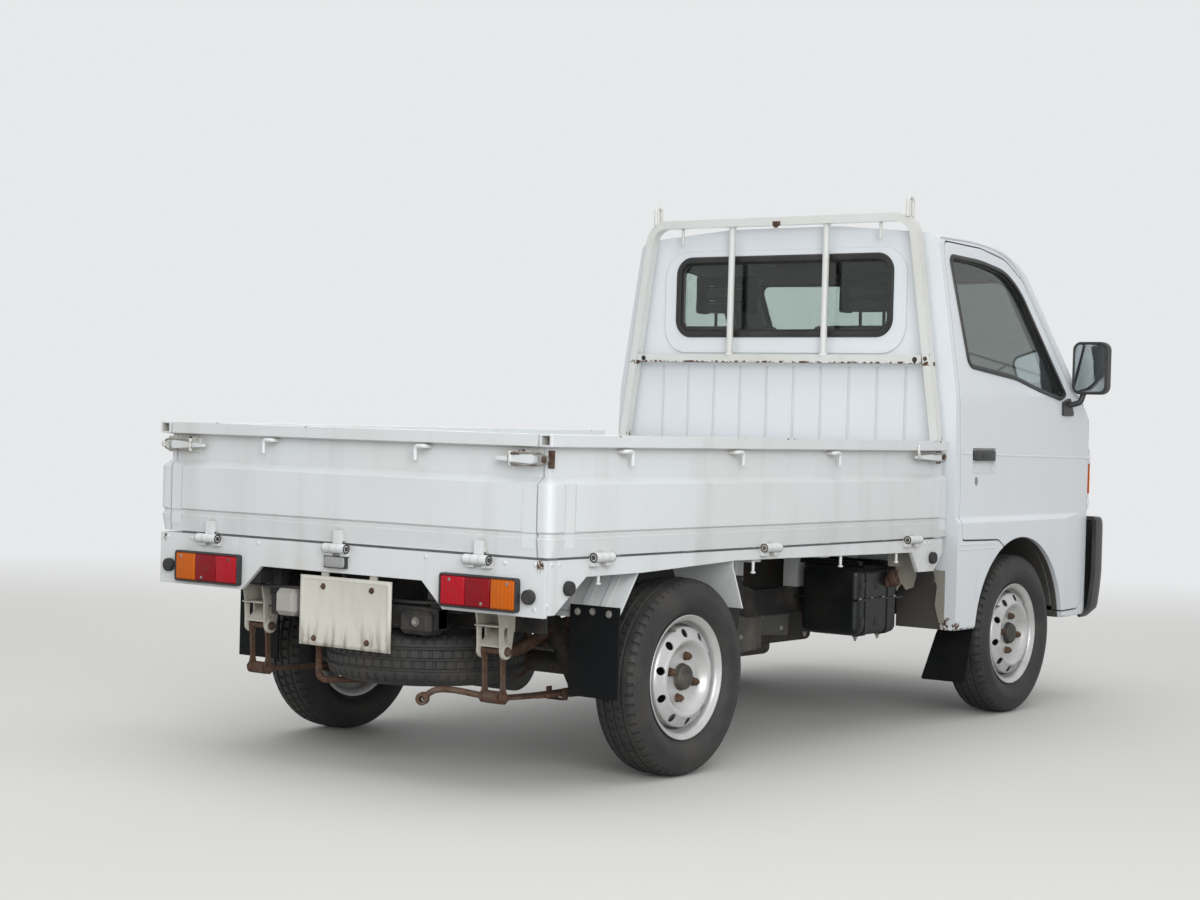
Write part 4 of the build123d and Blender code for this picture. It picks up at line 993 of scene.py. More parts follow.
def makeSideLatch(word, side, look):
    body = "side_gate_" + word
    face = 0.703
    z = latchZ + 0.01
    front = ahead(look["front"])
    rear = front - look["lever"]
    top = loopRoute(look["loop"], front, side, face, z)
    makeWires("sideLatchLoop_" + word, [top], look["wire"], dullSteel, body)
    pull = [(rear + dx, side * (face + dy), z + dz) for dx, dy, dz in look["pull"]]
    makeWires("sideLatchPull_" + word, [pull], 0.0042, agedWhite, body)
    bm = bmesh.new()
    addBlock(bm, (front - 0.095, side * 0.6725, z - 0.022),
             (front - 0.045, side * 0.6705 + 0.002 * (side < 0), z + 0.022), 0.001)
    addBlock(bm, (front + 0.028, side * 0.672, z - 0.008), (front + 0.033, side * 0.7, z + 0.008), 0.0015)
    addBlock(bm, (front + 0.018, side * 0.6725, z - 0.02), (front + 0.046, side * 0.6755, z + 0.02), 0.001)
    for dx, dz in ((0.024, -0.014), (0.04, 0.014)):
        addHead(bm, (front + dx, side * 0.6755, z + dz), (0, side, 0), 0.003, 0.003)
    newPiece(bm, "sideLatchKeeper_" + word, rustyIron, body)


for word, side in sides.items():
    makeSideLatch(word, side, sideLatch)
print("latches made")

# Rivets and bolts of the bed
def makeBedFasteners():
    rivet = [(0.0, 0.0062), (0.0012, 0.0058), (0.0024, 0.0036), (0.003, 0.0)]
    bm = bmesh.new()
    for side in (-1, 1):
        for x, z in ((1.23, 0.588), (1.262, 0.588), (-0.63, 0.59), (-0.6, 0.59), (-0.645, 0.49),
                     (1.262, 0.52)):
            centre = Vector((ahead(x), side * 0.6848, z))
            addSpun(bm, rivet, centre, (0, side, 0), 14)
        for y, z in ((0.655, 0.588), (0.655, 0.48), (0.3, 0.588), (0.56, 0.588)):
            centre = Vector((tailPlane + 0.0002, side * y, z))
            addSpun(bm, rivet, centre, (-1, 0, 0), 14)
        for x in (-0.435, 0.27, 0.736, 1.064):
            top = Vector((ahead(x), side * 0.679, 0.566))
            addRod(bm, top, top - Vector((0, 0, 0.034)), 0.0042, None, 12, 0.001)
            addRod(bm, top - Vector((0, 0, 0.028)), top - Vector((0, 0, 0.033)), 0.0075, None, 14, 0.001)
    newPiece(bm, "bedRivets", bedWhite)
    bm = bmesh.new()
    for side in (-1, 1):
        for y, z in ((0.552, 0.452), (0.6, 0.455), (0.652, 0.452)):
            addHead(bm, (ahead(-0.3502), side * y, z), (-1, 0, 0), 0.0065, 0.007)
    newPiece(bm, "flapBolts", dullSteel)


makeBedFasteners()


# Ribbed rubber stops and hinge ends
def makeStops():
    bm = bmesh.new()
    for side in (-1, 1):
        places = [(Vector((tailPlane - 0.0158, side * 0.642, 0.51)), (-1, 0, 0)),
                  (Vector((ahead(-0.568), side * 0.6988, 0.53)), (0, side, 0)),
                  (Vector((ahead(1.273), side * 0.6988, 0.542)), (0, side, 0))]
        for centre, way in places:
            section = [(-0.013, 0.0178), (-0.0115, 0.0186), (-0.01, 0.0178), (-0.0085, 0.0186),
                       (-0.007, 0.0178), (-0.0055, 0.0186), (-0.004, 0.0178), (-0.0015, 0.018),
                       (0.0004, 0.0165), (0.0008, 0.012), (-0.0004, 0.0105), (-0.0004, 0.004),
                       (0.0004, 0.0032), (0.0004, 0.0)]
            addSpun(bm, section, centre, way, 28)
    newPiece(bm, "stopRubbers", rubberBlack)


makeStops()


def makeHingeEnds():
    # dark rings between the knuckles, rusty pin ends
    rings = bmesh.new()
    ends = bmesh.new()
    pinZ = gateTop - gateHeight - 0.014
    places = [((tailPlane - 0.015, y, pinZ), (0, 1, 0)) for y in (-0.481, 0.0, 0.481)]
    for side in (-1, 1):
        places += [((ahead(x), side * 0.7, gateTop - gateHeight - 0.003), (1, 0, 0))
                   for x in (-0.445, 0.331, 1.133)]
    for place, way in places:
        centre = Vector(place)
        for end in (-1, 1):
            gap = centre + Vector(way) * end * 0.013
            addRod(rings, gap - Vector(way) * 0.0009, gap + Vector(way) * 0.0009, 0.0118, None, 24)
            tip = centre + Vector(way) * end * 0.0385
            addSpun(ends, [(0.0, 0.0128), (0.0009, 0.0124), (0.0009, 0.0088), (-0.0004, 0.008),
                           (-0.0004, 0.0066), (0.0016, 0.006), (0.0022, 0.0)], tip, Vector(way) * end, 24)
    newPiece(rings, "hingeGaps", frameBlack)
    newPiece(ends, "hingeEnds", hubFinish)


makeHingeEnds()
print("bed fittings made")

# Guard frame: brackets, grommets, welds
guardX = ahead(1.414)


def makeGuardParts():
    bm = bmesh.new()
    addBlock(bm, (guardX - 0.0162, -0.59, 1.15), (guardX - 0.0132, -0.56, 1.182), 0.001)
    addBlock(bm, (guardX - 0.0205, -0.016, 1.606), (guardX - 0.0172, 0.014, 1.622), 0.0012)
    addBlock(bm, (guardX - 0.026, -0.01, 1.6), (guardX - 0.02, 0.006, 1.61), 0.002)
    addHead(bm, (guardX - 0.0162, -0.575, 1.166), (-1, 0, 0), 0.005, 0.006)
    newPiece(bm, "guardBrackets", rustyIron)
    bm = bmesh.new()
    for y in (-0.558, 0.558):
        addSpun(bm, [(0.0, 0.009), (0.0016, 0.0085), (0.0022, 0.0055), (0.0008, 0.004), (0.0008, 0.0)],
                Vector((guardX - 0.0134, y * 0.96, 1.163)), (-1, 0, 0), 18)
    newPiece(bm, "guardGrommets", rubberBlack)
    bm = bmesh.new()
    for y in (-0.186, 0.186):
        for z, reach in ((1.174, 1), (1.612, -1)):
            addSpun(bm, [(0.0, 0.017), (0.004 * reach, 0.0135), (0.01 * reach, 0.0115)],
                    Vector((guardX, y, z)), (0, 0, 1), 20)
    for side in (-1, 1):
        addBlock(bm, (guardX - 0.021, side * 0.632 - 0.02, 0.608),
                 (guardX + 0.021, side * 0.632 + 0.014, 0.613), 0.001)
    newPiece(bm, "guardWelds", agedWhite)


makeGuardParts()

# Pressed ribs of the bed floor, and the front panel's stiffeners
floorLook = {"count": 11, "pitch": 0.112, "half": 0.018, "rise": 0.0032, "rear": ahead(-0.6),
             "front": ahead(1.36)}


def makeFloorRibs(look):
    bm = bmesh.new()
    for i in range(look["count"]):
        y = (i - (look["count"] - 1) / 2) * look["pitch"]
        addBlock(bm, (look["rear"], y - look["half"], 0.6115),
                 (look["front"], y + look["half"], 0.612 + look["rise"]), 0.0015, 2)
    newPiece(bm, "floorRibs", bedWhite)
    bm = bmesh.new()
    for y in (-0.42, -0.14, 0.14, 0.42):
        addBlock(bm, (ahead(1.378) - 0.006, y - 0.022, 0.63), (ahead(1.378) + 0.001, y + 0.022, 0.865),
                 0.0045, 3)
    newPiece(bm, "frontPanelRibs", bedWhite)
    bm = bmesh.new()
    for side in (-1, 1):
        addBlock(bm, (0.3885, side * 0.612, 0.6125), (0.4165, side * 0.6492, 0.8785), 0.002)
        addBlock(bm, (0.3885, side * 0.6492, 0.6125), (0.4165, side * 0.6462, 0.8785), 0.001)
    newPiece(bm, "bedCornerPosts", bedWhite)


makeFloorRibs(floorLook)
print("guard and floor made")

# Cab: mirrors, handles, locks, pressed lines, drip rails
mirrorLook = {"rear": 0.3572, "middle": (0.743, 1.167), "size": (0.13, 0.182), "cut": 0.03,
              "rings": [(0.002, 0.003), (0.005, 0.0002), (0.0015, -0.0026)]}


def makeMirrorFace(word, side, look):
    x = fore(look["rear"])
    y, z = look["middle"]
    wide, tall = look["size"][0] / 2 - 0.001, look["size"][1] / 2 - 0.001
    corners = [((x, side * y + a * wide, z + b * tall), look["cut"]) for a, b in ((-1, -1), (-1, 1), (1, 1),
                                                                                  (1, -1))]
    rim = bmesh.new()
    ringed(rim, corners, look["rings"], (-1, 0, 0), keepMiddle=False, turns=8)
    newPiece(rim, "mirrorRim_" + word, blackPlastic, "door_" + word)
    glass = bmesh.new()
    ringed(glass, corners, [(0.0075, 0.0007), (0.003, 0.0005)], (-1, 0, 0), turns=8)
    newPiece(glass, "mirrorGlass_" + word, mirrorFinish, "door_" + word)


handleLook = {"middle": (-0.263, 0.859), "size": (0.146, 0.036), "out": 0.0035}


def makeHandle(word, side, look):
    x, z = fore(look["middle"][0]), look["middle"][1]
    face = 0.671
    bm = bmesh.new()
    addBlock(bm, (x - look["size"][0] / 2, side * (face - 0.012), z - 0.016),
             (x + look["size"][0] / 2, side * (face + look["out"]), z + 0.0185), 0.005, 4)
    addBlock(bm, (x - 0.02, side * (face - 0.01), z - 0.008),
             (x + 0.066, side * (face + look["out"] + 0.0012), z + 0.0125), 0.003, 3)
    newPiece(bm, "doorHandle_" + word, blackPlastic, "door_" + word)
    bm = bmesh.new()
    centre = Vector((ahead(1.586), side * (sideAt(0.778) - 0.0005), 0.778))
    addSpun(bm, [(0.0, 0.0125), (0.0022, 0.0118), (0.003, 0.01), (0.0016, 0.009), (0.0016, 0.0)],
            centre, (0, side, 0), 32)
    bmesh.ops.scale(bm, vec=(0.78, 1, 1.15), space=Matrix.Translation(-centre), verts=bm.verts)
    addBlock(bm, (centre.x - 0.0009, centre.y + side * 0.001 - 0.0012, centre.z - 0.005),
             (centre.x + 0.0009, centre.y + side * 0.001 + 0.0012, centre.z + 0.005), 0.0003)
    newPiece(bm, "doorLock_" + word, dullSteel, "door_" + word)


def pressedLine(bm, side, route, width, rise, inside=0.0006):
    # a low pressed ridge that follows the side of the cab
    for (x0, z0), (x1, z1) in zip(route, route[1:]):
        pieces = max(int(abs(x1 - x0) / 0.12), 1)
        for i in range(pieces):
            a, b = i / pieces, (i + 1) / pieces
            ends = [(x0 + (x1 - x0) * t, z0 + (z1 - z0) * t) for t in (a, b)]
            ridge = ((-inside, -1), (rise, -0.3), (rise, 0.3), (-inside, 1))
            rows = [[(ahead(x), side * (sideAt(z) + out), z + width * share) for out, share in ridge]
                    for x, z in ends]
            verts = [[bm.verts.new(place) for place in row] for row in rows]
            for k in range(3):
                bm.faces.new((verts[0][k], verts[0][k + 1], verts[1][k + 1], verts[1][k]))


def makeCabLines(word, side):
    door = bmesh.new()
    pressedLine(door, side, [(1.492, 0.8665), (1.556, 0.865)], 0.0042, 0.0016)
    pressedLine(door, side, [(1.728, 0.8625), (2.436, 0.854)], 0.0042, 0.0016)
    newPiece(door, "doorCrease_" + word, cabWhite, "door_" + word, smooth=60)
    shell = bmesh.new()
    for z in (0.575, 0.56):
        pressedLine(shell, side, [(1.462, z), (1.7, z)], 0.0026, 0.0014)
    pressedLine(shell, side, [(1.4475, 0.8672), (1.4665, 0.867)], 0.0042, 0.0016)
    newPiece(shell, "sillCreases_" + word, cabWhite, smooth=60)
    # drip rail over the door and down the windscreen's pillar
    route = [(1.462, 1.5595), (1.6, 1.5625), (1.735, 1.5585), (1.88, 1.54), (1.955, 1.512), (2.03, 1.456),
             (2.18, 1.268), (2.3, 1.117), (2.322, 1.092)]
    places = [(ahead(x), side * (sideAt(min(z, 1.55)) + 0.0005 - max(z - 1.545, 0) * 0.55), z)
              for x, z in route]
    makeWires("dripRail_" + word, [places], 0.0048, cabWhite)
    # rubber seal seen in the gap round the door
    seal = bmesh.new()
    gap = [(-0.4325, 0.6), (-0.4345, 1.05), (-0.4312, 1.52)]
    for (x0, z0), (x1, z1) in zip(gap, gap[1:]):
        addRod(seal, (fore(x0), side * (sideAt(z0) - 0.014), z0), (fore(x1), side * (sideAt(z1) - 0.014), z1),
               0.0022, None, 10)
    newPiece(seal, "doorSeal_" + word, gasketRubber)


for word, side in sides.items():
    makeMirrorFace(word, side, mirrorLook)
    makeHandle(word, side, handleLook)
    makeCabLines(word, side)
print("doors dressed")

# Nose: headlamp rims, air slots, bumper openings
def noseAt(y, z):
    table = [(0.43, 0.685), (0.78, 0.681), (0.945, 0.651), (1.078, 0.537)]
    for (lowZ, lowX), (highZ, highX) in zip(table, table[1:]):
        if z <= highZ:
            share = max((z - lowZ) / (highZ - lowZ), 0.0)
            return bowed(lowX + (highX - lowX) * share, y)
    return screenAt(y, z)


def layOnNose(bm, out):
    # pieces drawn flat in Y and Z, with their height as X, are laid on the bowed nose
    for vert in bm.verts:
        vert.co.x += noseAt(vert.co.y, vert.co.z) + out


def makeNose():
    bm = bmesh.new()
    for side in (-1, 1):
        low, high = sorted((side * 0.326, side * 0.546))
        corners = [((0.0, y, z), 0.016) for y, z in ((low, 0.651), (low, 0.7985), (high, 0.803),
                                                     (high, 0.651))]
        rim = bmesh.new()
        ringed(rim, corners, [(0.0012, 0.01), (0.005, 0.0008), (0.0015, -0.006)], (1, 0, 0), keepMiddle=False)
        splitLong(rim, 0.1, 4)
        layOnNose(rim, 0.0006)
        mesh = bpy.data.meshes.new("headlampRim")
        rim.to_mesh(mesh)
        rim.free()
        bm.from_mesh(mesh)
        bpy.data.meshes.remove(mesh)
    newPiece(bm, "headlampRims", blackPlastic)
    # air slots between the headlamps
    bm = bmesh.new()
    for row in range(4):
        z = 0.69 + row * 0.026
        for i in range(4):
            y = -0.225 + i * 0.15
            addBlock(bm, (-0.004, y - 0.066, z - 0.0065), (0.0016, y + 0.066, z + 0.0065), 0.0014)
    splitLong(bm, 0.08, 3)
    layOnNose(bm, 0.0)
    newPiece(bm, "noseSlots", gasketRubber)
    bm = bmesh.new()
    for z in (0.668, 0.788):
        addBlock(bm, (-0.003, -0.318, z - 0.004), (0.003, 0.318, z + 0.004), 0.0024, 3)
    splitLong(bm, 0.3, 12)
    layOnNose(bm, 0.0)
    newPiece(bm, "noseCreases", cabWhite)
    # lower opening and slats in the bumper
    bm = bmesh.new()
    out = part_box("front_bumper")[1].x
    for z in (0.385, 0.42, 0.455):
        addBlock(bm, (-0.01, -0.27, z - 0.011), (0.001, 0.27, z + 0.011), 0.003, 3)
    splitLong(bm, 0.3, 12)
    for vert in bm.verts:
        vert.co.x += bowed(0.7062, vert.co.y)
    newPiece(bm, "bumperSlots", gasketRubber)
    bm = bmesh.new()
    for side in (-1, 1):
        addRod(bm, (out - 0.03, side * 0.4, 0.437), (out - 0.0085, side * 0.4, 0.437), 0.034, None, 32, 0.004)
    newPiece(bm, "bumperLampHoles", blackPlastic)


makeNose()

wiperLook = {"pivots": (0.36, -0.14), "height": 1.066}


def makeWipers(look):
    bm = bmesh.new()
    blades = bmesh.new()
    for y in look["pivots"]:
        foot = Vector((screenAt(y, 1.07) + 0.004, y, look["height"]))
        addRod(bm, foot - Vector((0.012, 0, 0.01)), foot + Vector((0.02, 0, 0.01)), 0.011, 0.009, 20, 0.002)
        tip = Vector((screenAt(y - 0.25, 1.185) + 0.022, y - 0.25, 1.185))
        rise = foot + Vector((0.016, 0, 0.008))
        addRod(bm, rise, tip, 0.0055, 0.0035, 10)
        start = Vector((screenAt(y - 0.44, 1.125) + 0.012, y - 0.44, 1.125))
        end = Vector((screenAt(y - 0.05, 1.235) + 0.012, y - 0.05, 1.235))
        bend = (start + end) / 2 + Vector((0.006, 0, 0.0))
        addRod(blades, start, bend, 0.003, 0.0042, 8)
        addRod(blades, bend, end, 0.0042, 0.003, 8)
        for a, b in ((start, bend), (bend, end)):
            drop = Vector((-0.007, 0, 0.0))
            addRod(blades, a + drop, b + drop, 0.0022, None, 6)
        addRod(blades, bend, tip, 0.0038, None, 8)
    newPiece(bm, "wiperArms", blackPlastic)
    newPiece(blades, "wiperBlades", rubberBlack)
    cowl = bmesh.new()
    for side in (-1, 1):
        for i in range(7):
            y = side * (0.1 + i * 0.055)
            for z in (1.022, 1.006):
                addBlock(cowl, (-0.003, y - 0.021, z), (0.0016, y + 0.021, z + 0.006), 0.0012)
    for vert in cowl.verts:
        vert.co.x += noseAt(vert.co.y, vert.co.z)
    newPiece(cowl, "cowlSlots", gasketRubber)


makeWipers(wiperLook)
print("nose made")

# Bumper: a thick moulding whose corners wrap to the sides, swept back at the foot
bumperLook = {
    # distance from the middle and place ahead of the front axle, along one half
    "plan": [(0.0, 0.0, 0.706), (0.2, 0.15, 0.702), (0.38, 0.3, 0.69), (0.58, 0.45, 0.672),
             (0.74, 0.58, 0.66), (0.82, 0.645, 0.653), (0.86, 0.672, 0.644), (0.89, 0.6865, 0.63),
             (0.92, 0.6915, 0.612), (1.0, 0.6915, 0.564)],
    # height, and how far the face goes back there
    "rise": [(0.0, 0.292, 0.072), (0.08, 0.296, 0.058), (0.2, 0.325, 0.026), (0.34, 0.38, 0.007),
             (0.5, 0.45, 0.0), (0.85, 0.61, 0.0), (0.93, 0.636, 0.003), (0.97, 0.643, 0.01),
             (1.0, 0.645, 0.026)],
    "steps": (56, 22), "wall": 0.016}


def between(table, share):
    for low, high in zip(table, table[1:]):
        if share <= high[0]:
            part = (share - low[0]) / (high[0] - low[0])
            return [a + (b - a) * part for a, b in zip(low[1:], high[1:])]
    return table[-1][1:]


def makeBumper(look):
    bm = bmesh.new()
    bmesh.ops.create_grid(bm, x_segments=look["steps"][0], y_segments=look["steps"][1], size=1.0)
    for vert in bm.verts:
        y, x = between(look["plan"], abs(vert.co.x))
        z, back = between(look["rise"], (vert.co.y + 1) / 2)
        # on the corners only the part below the doors is swept back
        turned = min(max((y - 0.6) / 0.07, 0.0), 1.0)
        y -= back * 0.35 * turned
        spare = min(back, 0.008 + max(0.322 - z, 0.0) * 2.2)
        x -= back + (spare - back) * turned
        vert.co = Vector((fore(x), math.copysign(y, vert.co.x), z))
    bmesh.ops.recalc_face_normals(bm, faces=bm.faces)
    bmesh.ops.solidify(bm, geom=bm.faces[:], thickness=look["wall"])
    newPiece(bm, "bumperMoulding", blackPlastic, replaced=("front_bumper",), smooth=45)


makeBumper(bumperLook)
print("bumper made")

# Rear spring hangers: white cheeks with a slot, rusty shackles on bolts
greyPaint = dustyBlack("greyPaint", (0.42, 0.41, 0.385), 0.5, 0.5, 200.0)
dustySheet = dustyBlack("dustySheet", (0.07, 0.068, 0.064), 0.6, 0.75, 120.0)
creamSheet = dustyBlack("creamSheet", (0.27, 0.255, 0.22), 0.6, 0.6, 150.0)
creamPaint = paintedSteel("creamPaint", dict(paintLooks["aged_white"], clean=(0.6, 0.585, 0.52), rust=0.5))
springLook = {"y": 0.421, "cheek": 0.037, "pin": (-0.524, 0.352), "eye": (-0.521, 0.2335), "sheet": 0.005,
              "outline": [(-0.565, 0.5), (-0.486, 0.5), (-0.49, 0.42), (-0.502, 0.352), (-0.507, 0.34),
                          (-0.516, 0.3325), (-0.524, 0.331), (-0.533, 0.333), (-0.542, 0.341),
                          (-0.546, 0.352), (-0.549, 0.42)],
              # slot: middle, half width, centres of its round ends, corners
              "slot": (-0.524, 0.009, 0.404, 0.384, 0.392)}


def holedPlate(bm, outer, inner, y, depth):
    # a sheet with a hole, as outlines ahead of the rear axle and heights
    edges = []
    for loop in (outer, inner):
        verts = [bm.verts.new((ahead(x), y, z)) for x, z in loop]
        edges += [bm.edges.new(pair) for pair in zip(verts, verts[1:] + verts[:1])]
    made = bmesh.ops.triangle_fill(bm, use_beauty=True, use_dissolve=True, edges=edges)["geom"]
    faces = [item for item in made if isinstance(item, bmesh.types.BMFace)]
    grown = bmesh.ops.extrude_face_region(bm, geom=faces, use_keep_orig=True)["geom"]
    bmesh.ops.translate(bm, vec=(0, depth, 0), verts=vertsOf(grown))


def roundedEnd(x, z, radius, start):
    # half a circle in nine points
    turns = [start + math.pi * i / 8 for i in range(9)]
    return [(x + radius * math.cos(turn), z + radius * math.sin(turn)) for turn in turns]


def makeHanger(word, side, look):
    middle = side * look["y"]
    pinX, pinZ = ahead(look["pin"][0]), look["pin"][1]
    eyeX, eyeZ = ahead(look["eye"][0]), look["eye"][1]
    x, radius, head, foot, corner = look["slot"]
    slot = [(x + radius, corner)] + roundedEnd(x, head, radius, 0.0)[1:-1] + [(x - radius, corner)]
    slot += roundedEnd(x, foot, radius, math.pi)[1:-1]
    bm = bmesh.new()
    for end in (-1, 1):
        y = middle + end * look["cheek"]
        holedPlate(bm, look["outline"], slot, y - look["sheet"] / 2, look["sheet"])
    low, high = middle - look["cheek"], middle + look["cheek"]
    addBlock(bm, (ahead(-0.4895), low, 0.4), (ahead(-0.4855), high, 0.5), 0.001)
    addBlock(bm, (ahead(-0.56), low, 0.415), (ahead(-0.488), high, 0.419), 0.001)
    addPlate(bm, [(ahead(-0.494), low, 0.4), (ahead(-0.54), low, 0.362), (ahead(-0.54), high, 0.362),
                  (ahead(-0.494), high, 0.4)], (0, 0, 0.004))
    outer = middle + side * look["cheek"]
    inner = middle - side * look["cheek"]
    for y, way in ((outer, side), (inner, -side)):
        addSpun(bm, [(0.0, 0.02), (0.004, 0.0195), (0.005, 0.018), (0.005, 0.0125), (0.003, 0.0118)],
                Vector((pinX, y + way * 0.0022, pinZ)), (0, way, 0), 28)
    addBlock(bm, (ahead(-0.572), side * 0.35, 0.4955), (ahead(-0.478), side * 0.472, 0.5015), 0.0015)
    newPiece(bm, "springHanger_" + word, creamPaint, replaced=("spring_hangers",))
    bm = bmesh.new()
    for end in (-1, 1):
        y = middle + end * 0.03
        outline = roundedEnd(pinX, pinZ, 0.013, 0.0)
        outline += [(pinX - 0.0075, pinZ - 0.03), (eyeX - 0.0075, eyeZ + 0.03)]
        outline += roundedEnd(eyeX, eyeZ, 0.0145, math.pi)
        outline += [(eyeX + 0.0075, eyeZ + 0.03), (pinX + 0.0075, pinZ - 0.03)]
        addPlate(bm, [(x, y - 0.003, z) for x, z in outline], (0, 0.006, 0))
    for x, z, reach in ((pinX, pinZ, 0.0425), (eyeX, eyeZ, 0.034)):
        addRod(bm, (x, middle - reach, z), (x, middle + reach, z), 0.0085, None, 20)
        for end in (-1, 1):
            addHead(bm, (x, middle + end * (reach - 0.001), z), (0, end, 0), 0.0112, 0.0105)
    # rolled eyes of the spring's main leaf
    ring = [(-0.0245, 0.0105), (-0.0245, 0.0165), (0.0245, 0.0165), (0.0245, 0.0105)]
    addSpun(bm, ring, (eyeX, middle, eyeZ), (0, 1, 0), 28, closed=True)
    frontX, frontZ = ahead(0.5), 0.2945
    addSpun(bm, ring, (frontX, middle, frontZ), (0, 1, 0), 28, closed=True)
    addHead(bm, (frontX, middle + side * 0.036, frontZ), (0, side, 0), 0.012, 0.011)
    # clips round the leaves
    for x, z in ((-0.26, 0.2265), (0.25, 0.24)):
        for a, b, foot, head in ((-0.029, -0.0252, -0.017, 0.012), (0.0252, 0.029, -0.017, 0.012),
                                 (-0.029, 0.029, -0.021, -0.017)):
            addBlock(bm, (ahead(x) - 0.011, middle + a, z + foot), (ahead(x) + 0.011, middle + b, z + head),
                     0.001)
    newPiece(bm, "shackles_" + word, rustyIron)
    bm = bmesh.new()
    for end in (-1, 1):
        y = middle + end * 0.033
        outline = [(0.44, 0.5), (0.56, 0.5), (0.546, 0.38), (0.528, 0.29), (0.516, 0.276), (0.5, 0.272),
                   (0.484, 0.276), (0.472, 0.29), (0.454, 0.38)]
        addPlate(bm, [(ahead(x), y - 0.0025, z) for x, z in outline], (0, 0.005, 0))
    addBlock(bm, (ahead(0.478), middle - 0.033, 0.318), (ahead(0.522), middle + 0.033, 0.322), 0.001)
    addBlock(bm, (ahead(0.436), side * 0.35, 0.494), (ahead(0.564), side * 0.458, 0.5), 0.001)
    newPiece(bm, "springBracket_" + word, frameBlack)
    # U bolts and their plate on the axle
    bm = bmesh.new()
    for x in (-0.037, 0.037):
        for end in (-1, 1):
            y = middle + end * 0.031
            addRod(bm, (ahead(x), y, 0.186), (ahead(x), y, 0.268), 0.0055, None, 12)
            addHead(bm, (ahead(x), y, 0.1985), (0, 0, -1), 0.0088, 0.009)
        arch = [(-0.031, 0.262), (-0.031, 0.289), (-0.024, 0.303), (0.0, 0.305), (0.024, 0.303),
                (0.031, 0.289), (0.031, 0.262)]
        for (a, p), (b, q) in zip(arch, arch[1:]):
            addRod(bm, (ahead(x), middle + a, p), (ahead(x), middle + b, q), 0.0055, None, 12)
    addBlock(bm, (ahead(-0.052), middle - 0.042, 0.1985), (ahead(0.052), middle + 0.042, 0.2055), 0.002)
    newPiece(bm, "springBolts_" + word, rustyIron)


for word, side in sides.items():
    makeHanger(word, side, springLook)
print("spring hangers made")

# Ends of the rear beam, tow eye, rusty cross rod, lamp wiring, and a black sheet of painted shade under the
# bed
def makeBeamEnds():
    bm = bmesh.new()
    addBlock(bm, (ahead(-0.634), 0.184, 0.398), (ahead(-0.56), 0.262, 0.47), 0.013, 1)
    newPiece(bm, "beamEndGrey", greyPaint)
    bm = bmesh.new()
    addBlock(bm, (ahead(-0.63), -0.292, 0.384), (ahead(-0.56), -0.186, 0.446), 0.012, 1)
    addBlock(bm, (ahead(-0.606), -0.3, 0.395), (ahead(-0.562), 0.3, 0.455), 0.006, 2)
    # a thin black sheet across under the bed, between the frame rails: painted shade, standing in for the
    # shadow there
    addBlock(bm, (ahead(-0.412), -0.5, 0.392), (ahead(-0.406), 0.5, 0.572), 0.001)
    for side in (-1, 1):
        addBlock(bm, (ahead(-0.566), side * 0.345, 0.44), (ahead(-0.4), side * 0.29, 0.5), 0.006, 2)
    newPiece(bm, "beamEndBlackAndShadeSheet", frameBlack)
    bm = bmesh.new()
    addHead(bm, (ahead(-0.6305), -0.248, 0.418), (-1, 0, 0), 0.0085, 0.008)
    newPiece(bm, "beamBolt", dullSteel)
    bm = bmesh.new()
    addSpun(bm, [(-0.013, 0.0075), (-0.013, 0.014), (-0.01, 0.0165), (0.01, 0.0165), (0.013, 0.014),
                 (0.013, 0.0075)],
            Vector((ahead(-0.612), -0.262, 0.222)), (1, 0.5, 0), 24, closed=True)
    newPiece(bm, "crossRodEnd", rustyIron)
    route = [(-0.612, -0.262, 0.222), (-0.604, -0.274, 0.236), (-0.59, -0.292, 0.248),
             (-0.56, -0.33, 0.246), (-0.53, -0.376, 0.236), (-0.521, -0.4, 0.2335)]
    makeWires("crossRod", [alongTruck(route)], 0.0085, rustyIron)
    routes = [
        [(-0.651, -0.485, 0.52), (-0.627, -0.47, 0.5), (-0.61, -0.43, 0.476),
         (-0.6, -0.33, 0.47), (-0.605, -0.2, 0.462), (-0.6, 0.0, 0.468),
         (-0.605, 0.2, 0.474), (-0.6, 0.33, 0.47), (-0.61, 0.43, 0.48),
         (-0.627, 0.47, 0.5), (-0.651, 0.485, 0.52)],
        [(-0.6, -0.33, 0.47), (-0.54, -0.365, 0.48), (-0.42, -0.368, 0.49),
         (-0.2, -0.362, 0.478), (0.1, -0.362, 0.486), (0.4, -0.362, 0.48)],
        [(-0.651, 0.006, 0.556), (-0.627, 0.01, 0.53), (-0.612, 0.02, 0.49), (-0.6, 0.03, 0.468)]]
    makeWires("lampWiring", map(alongTruck, routes), 0.0048, rubberBlack)


makeBeamEnds()

# Brake pipes and the handbrake's cables
pipeRoutes = [
    [(-0.03, 0.47, 0.292), (-0.05, 0.4, 0.303), (-0.045, 0.2, 0.304),
     (-0.05, 0.06, 0.33), (-0.05, -0.2, 0.304), (-0.05, -0.4, 0.303), (-0.03, -0.47, 0.292)],
    [(-0.05, 0.03, 0.335), (0.05, 0.02, 0.4), (0.2, 0.18, 0.43), (0.32, 0.275, 0.42),
     (0.6, 0.285, 0.41), (1.1, 0.285, 0.41)]]
cableRoutes = [
    [(0.02, side * 0.52, 0.3), (0.1, side * 0.5, 0.315), (0.28, side * 0.4, 0.345),
     (0.5, side * 0.24, 0.372), (0.62, side * 0.16, 0.38), (0.7, side * 0.13, 0.392)]
    for side in (-1, 1)]
makeWires("brakePipes", map(alongTruck, pipeRoutes), 0.003, dullSteel)
makeWires("brakeCables", map(alongTruck, cableRoutes), 0.0055, rubberBlack)


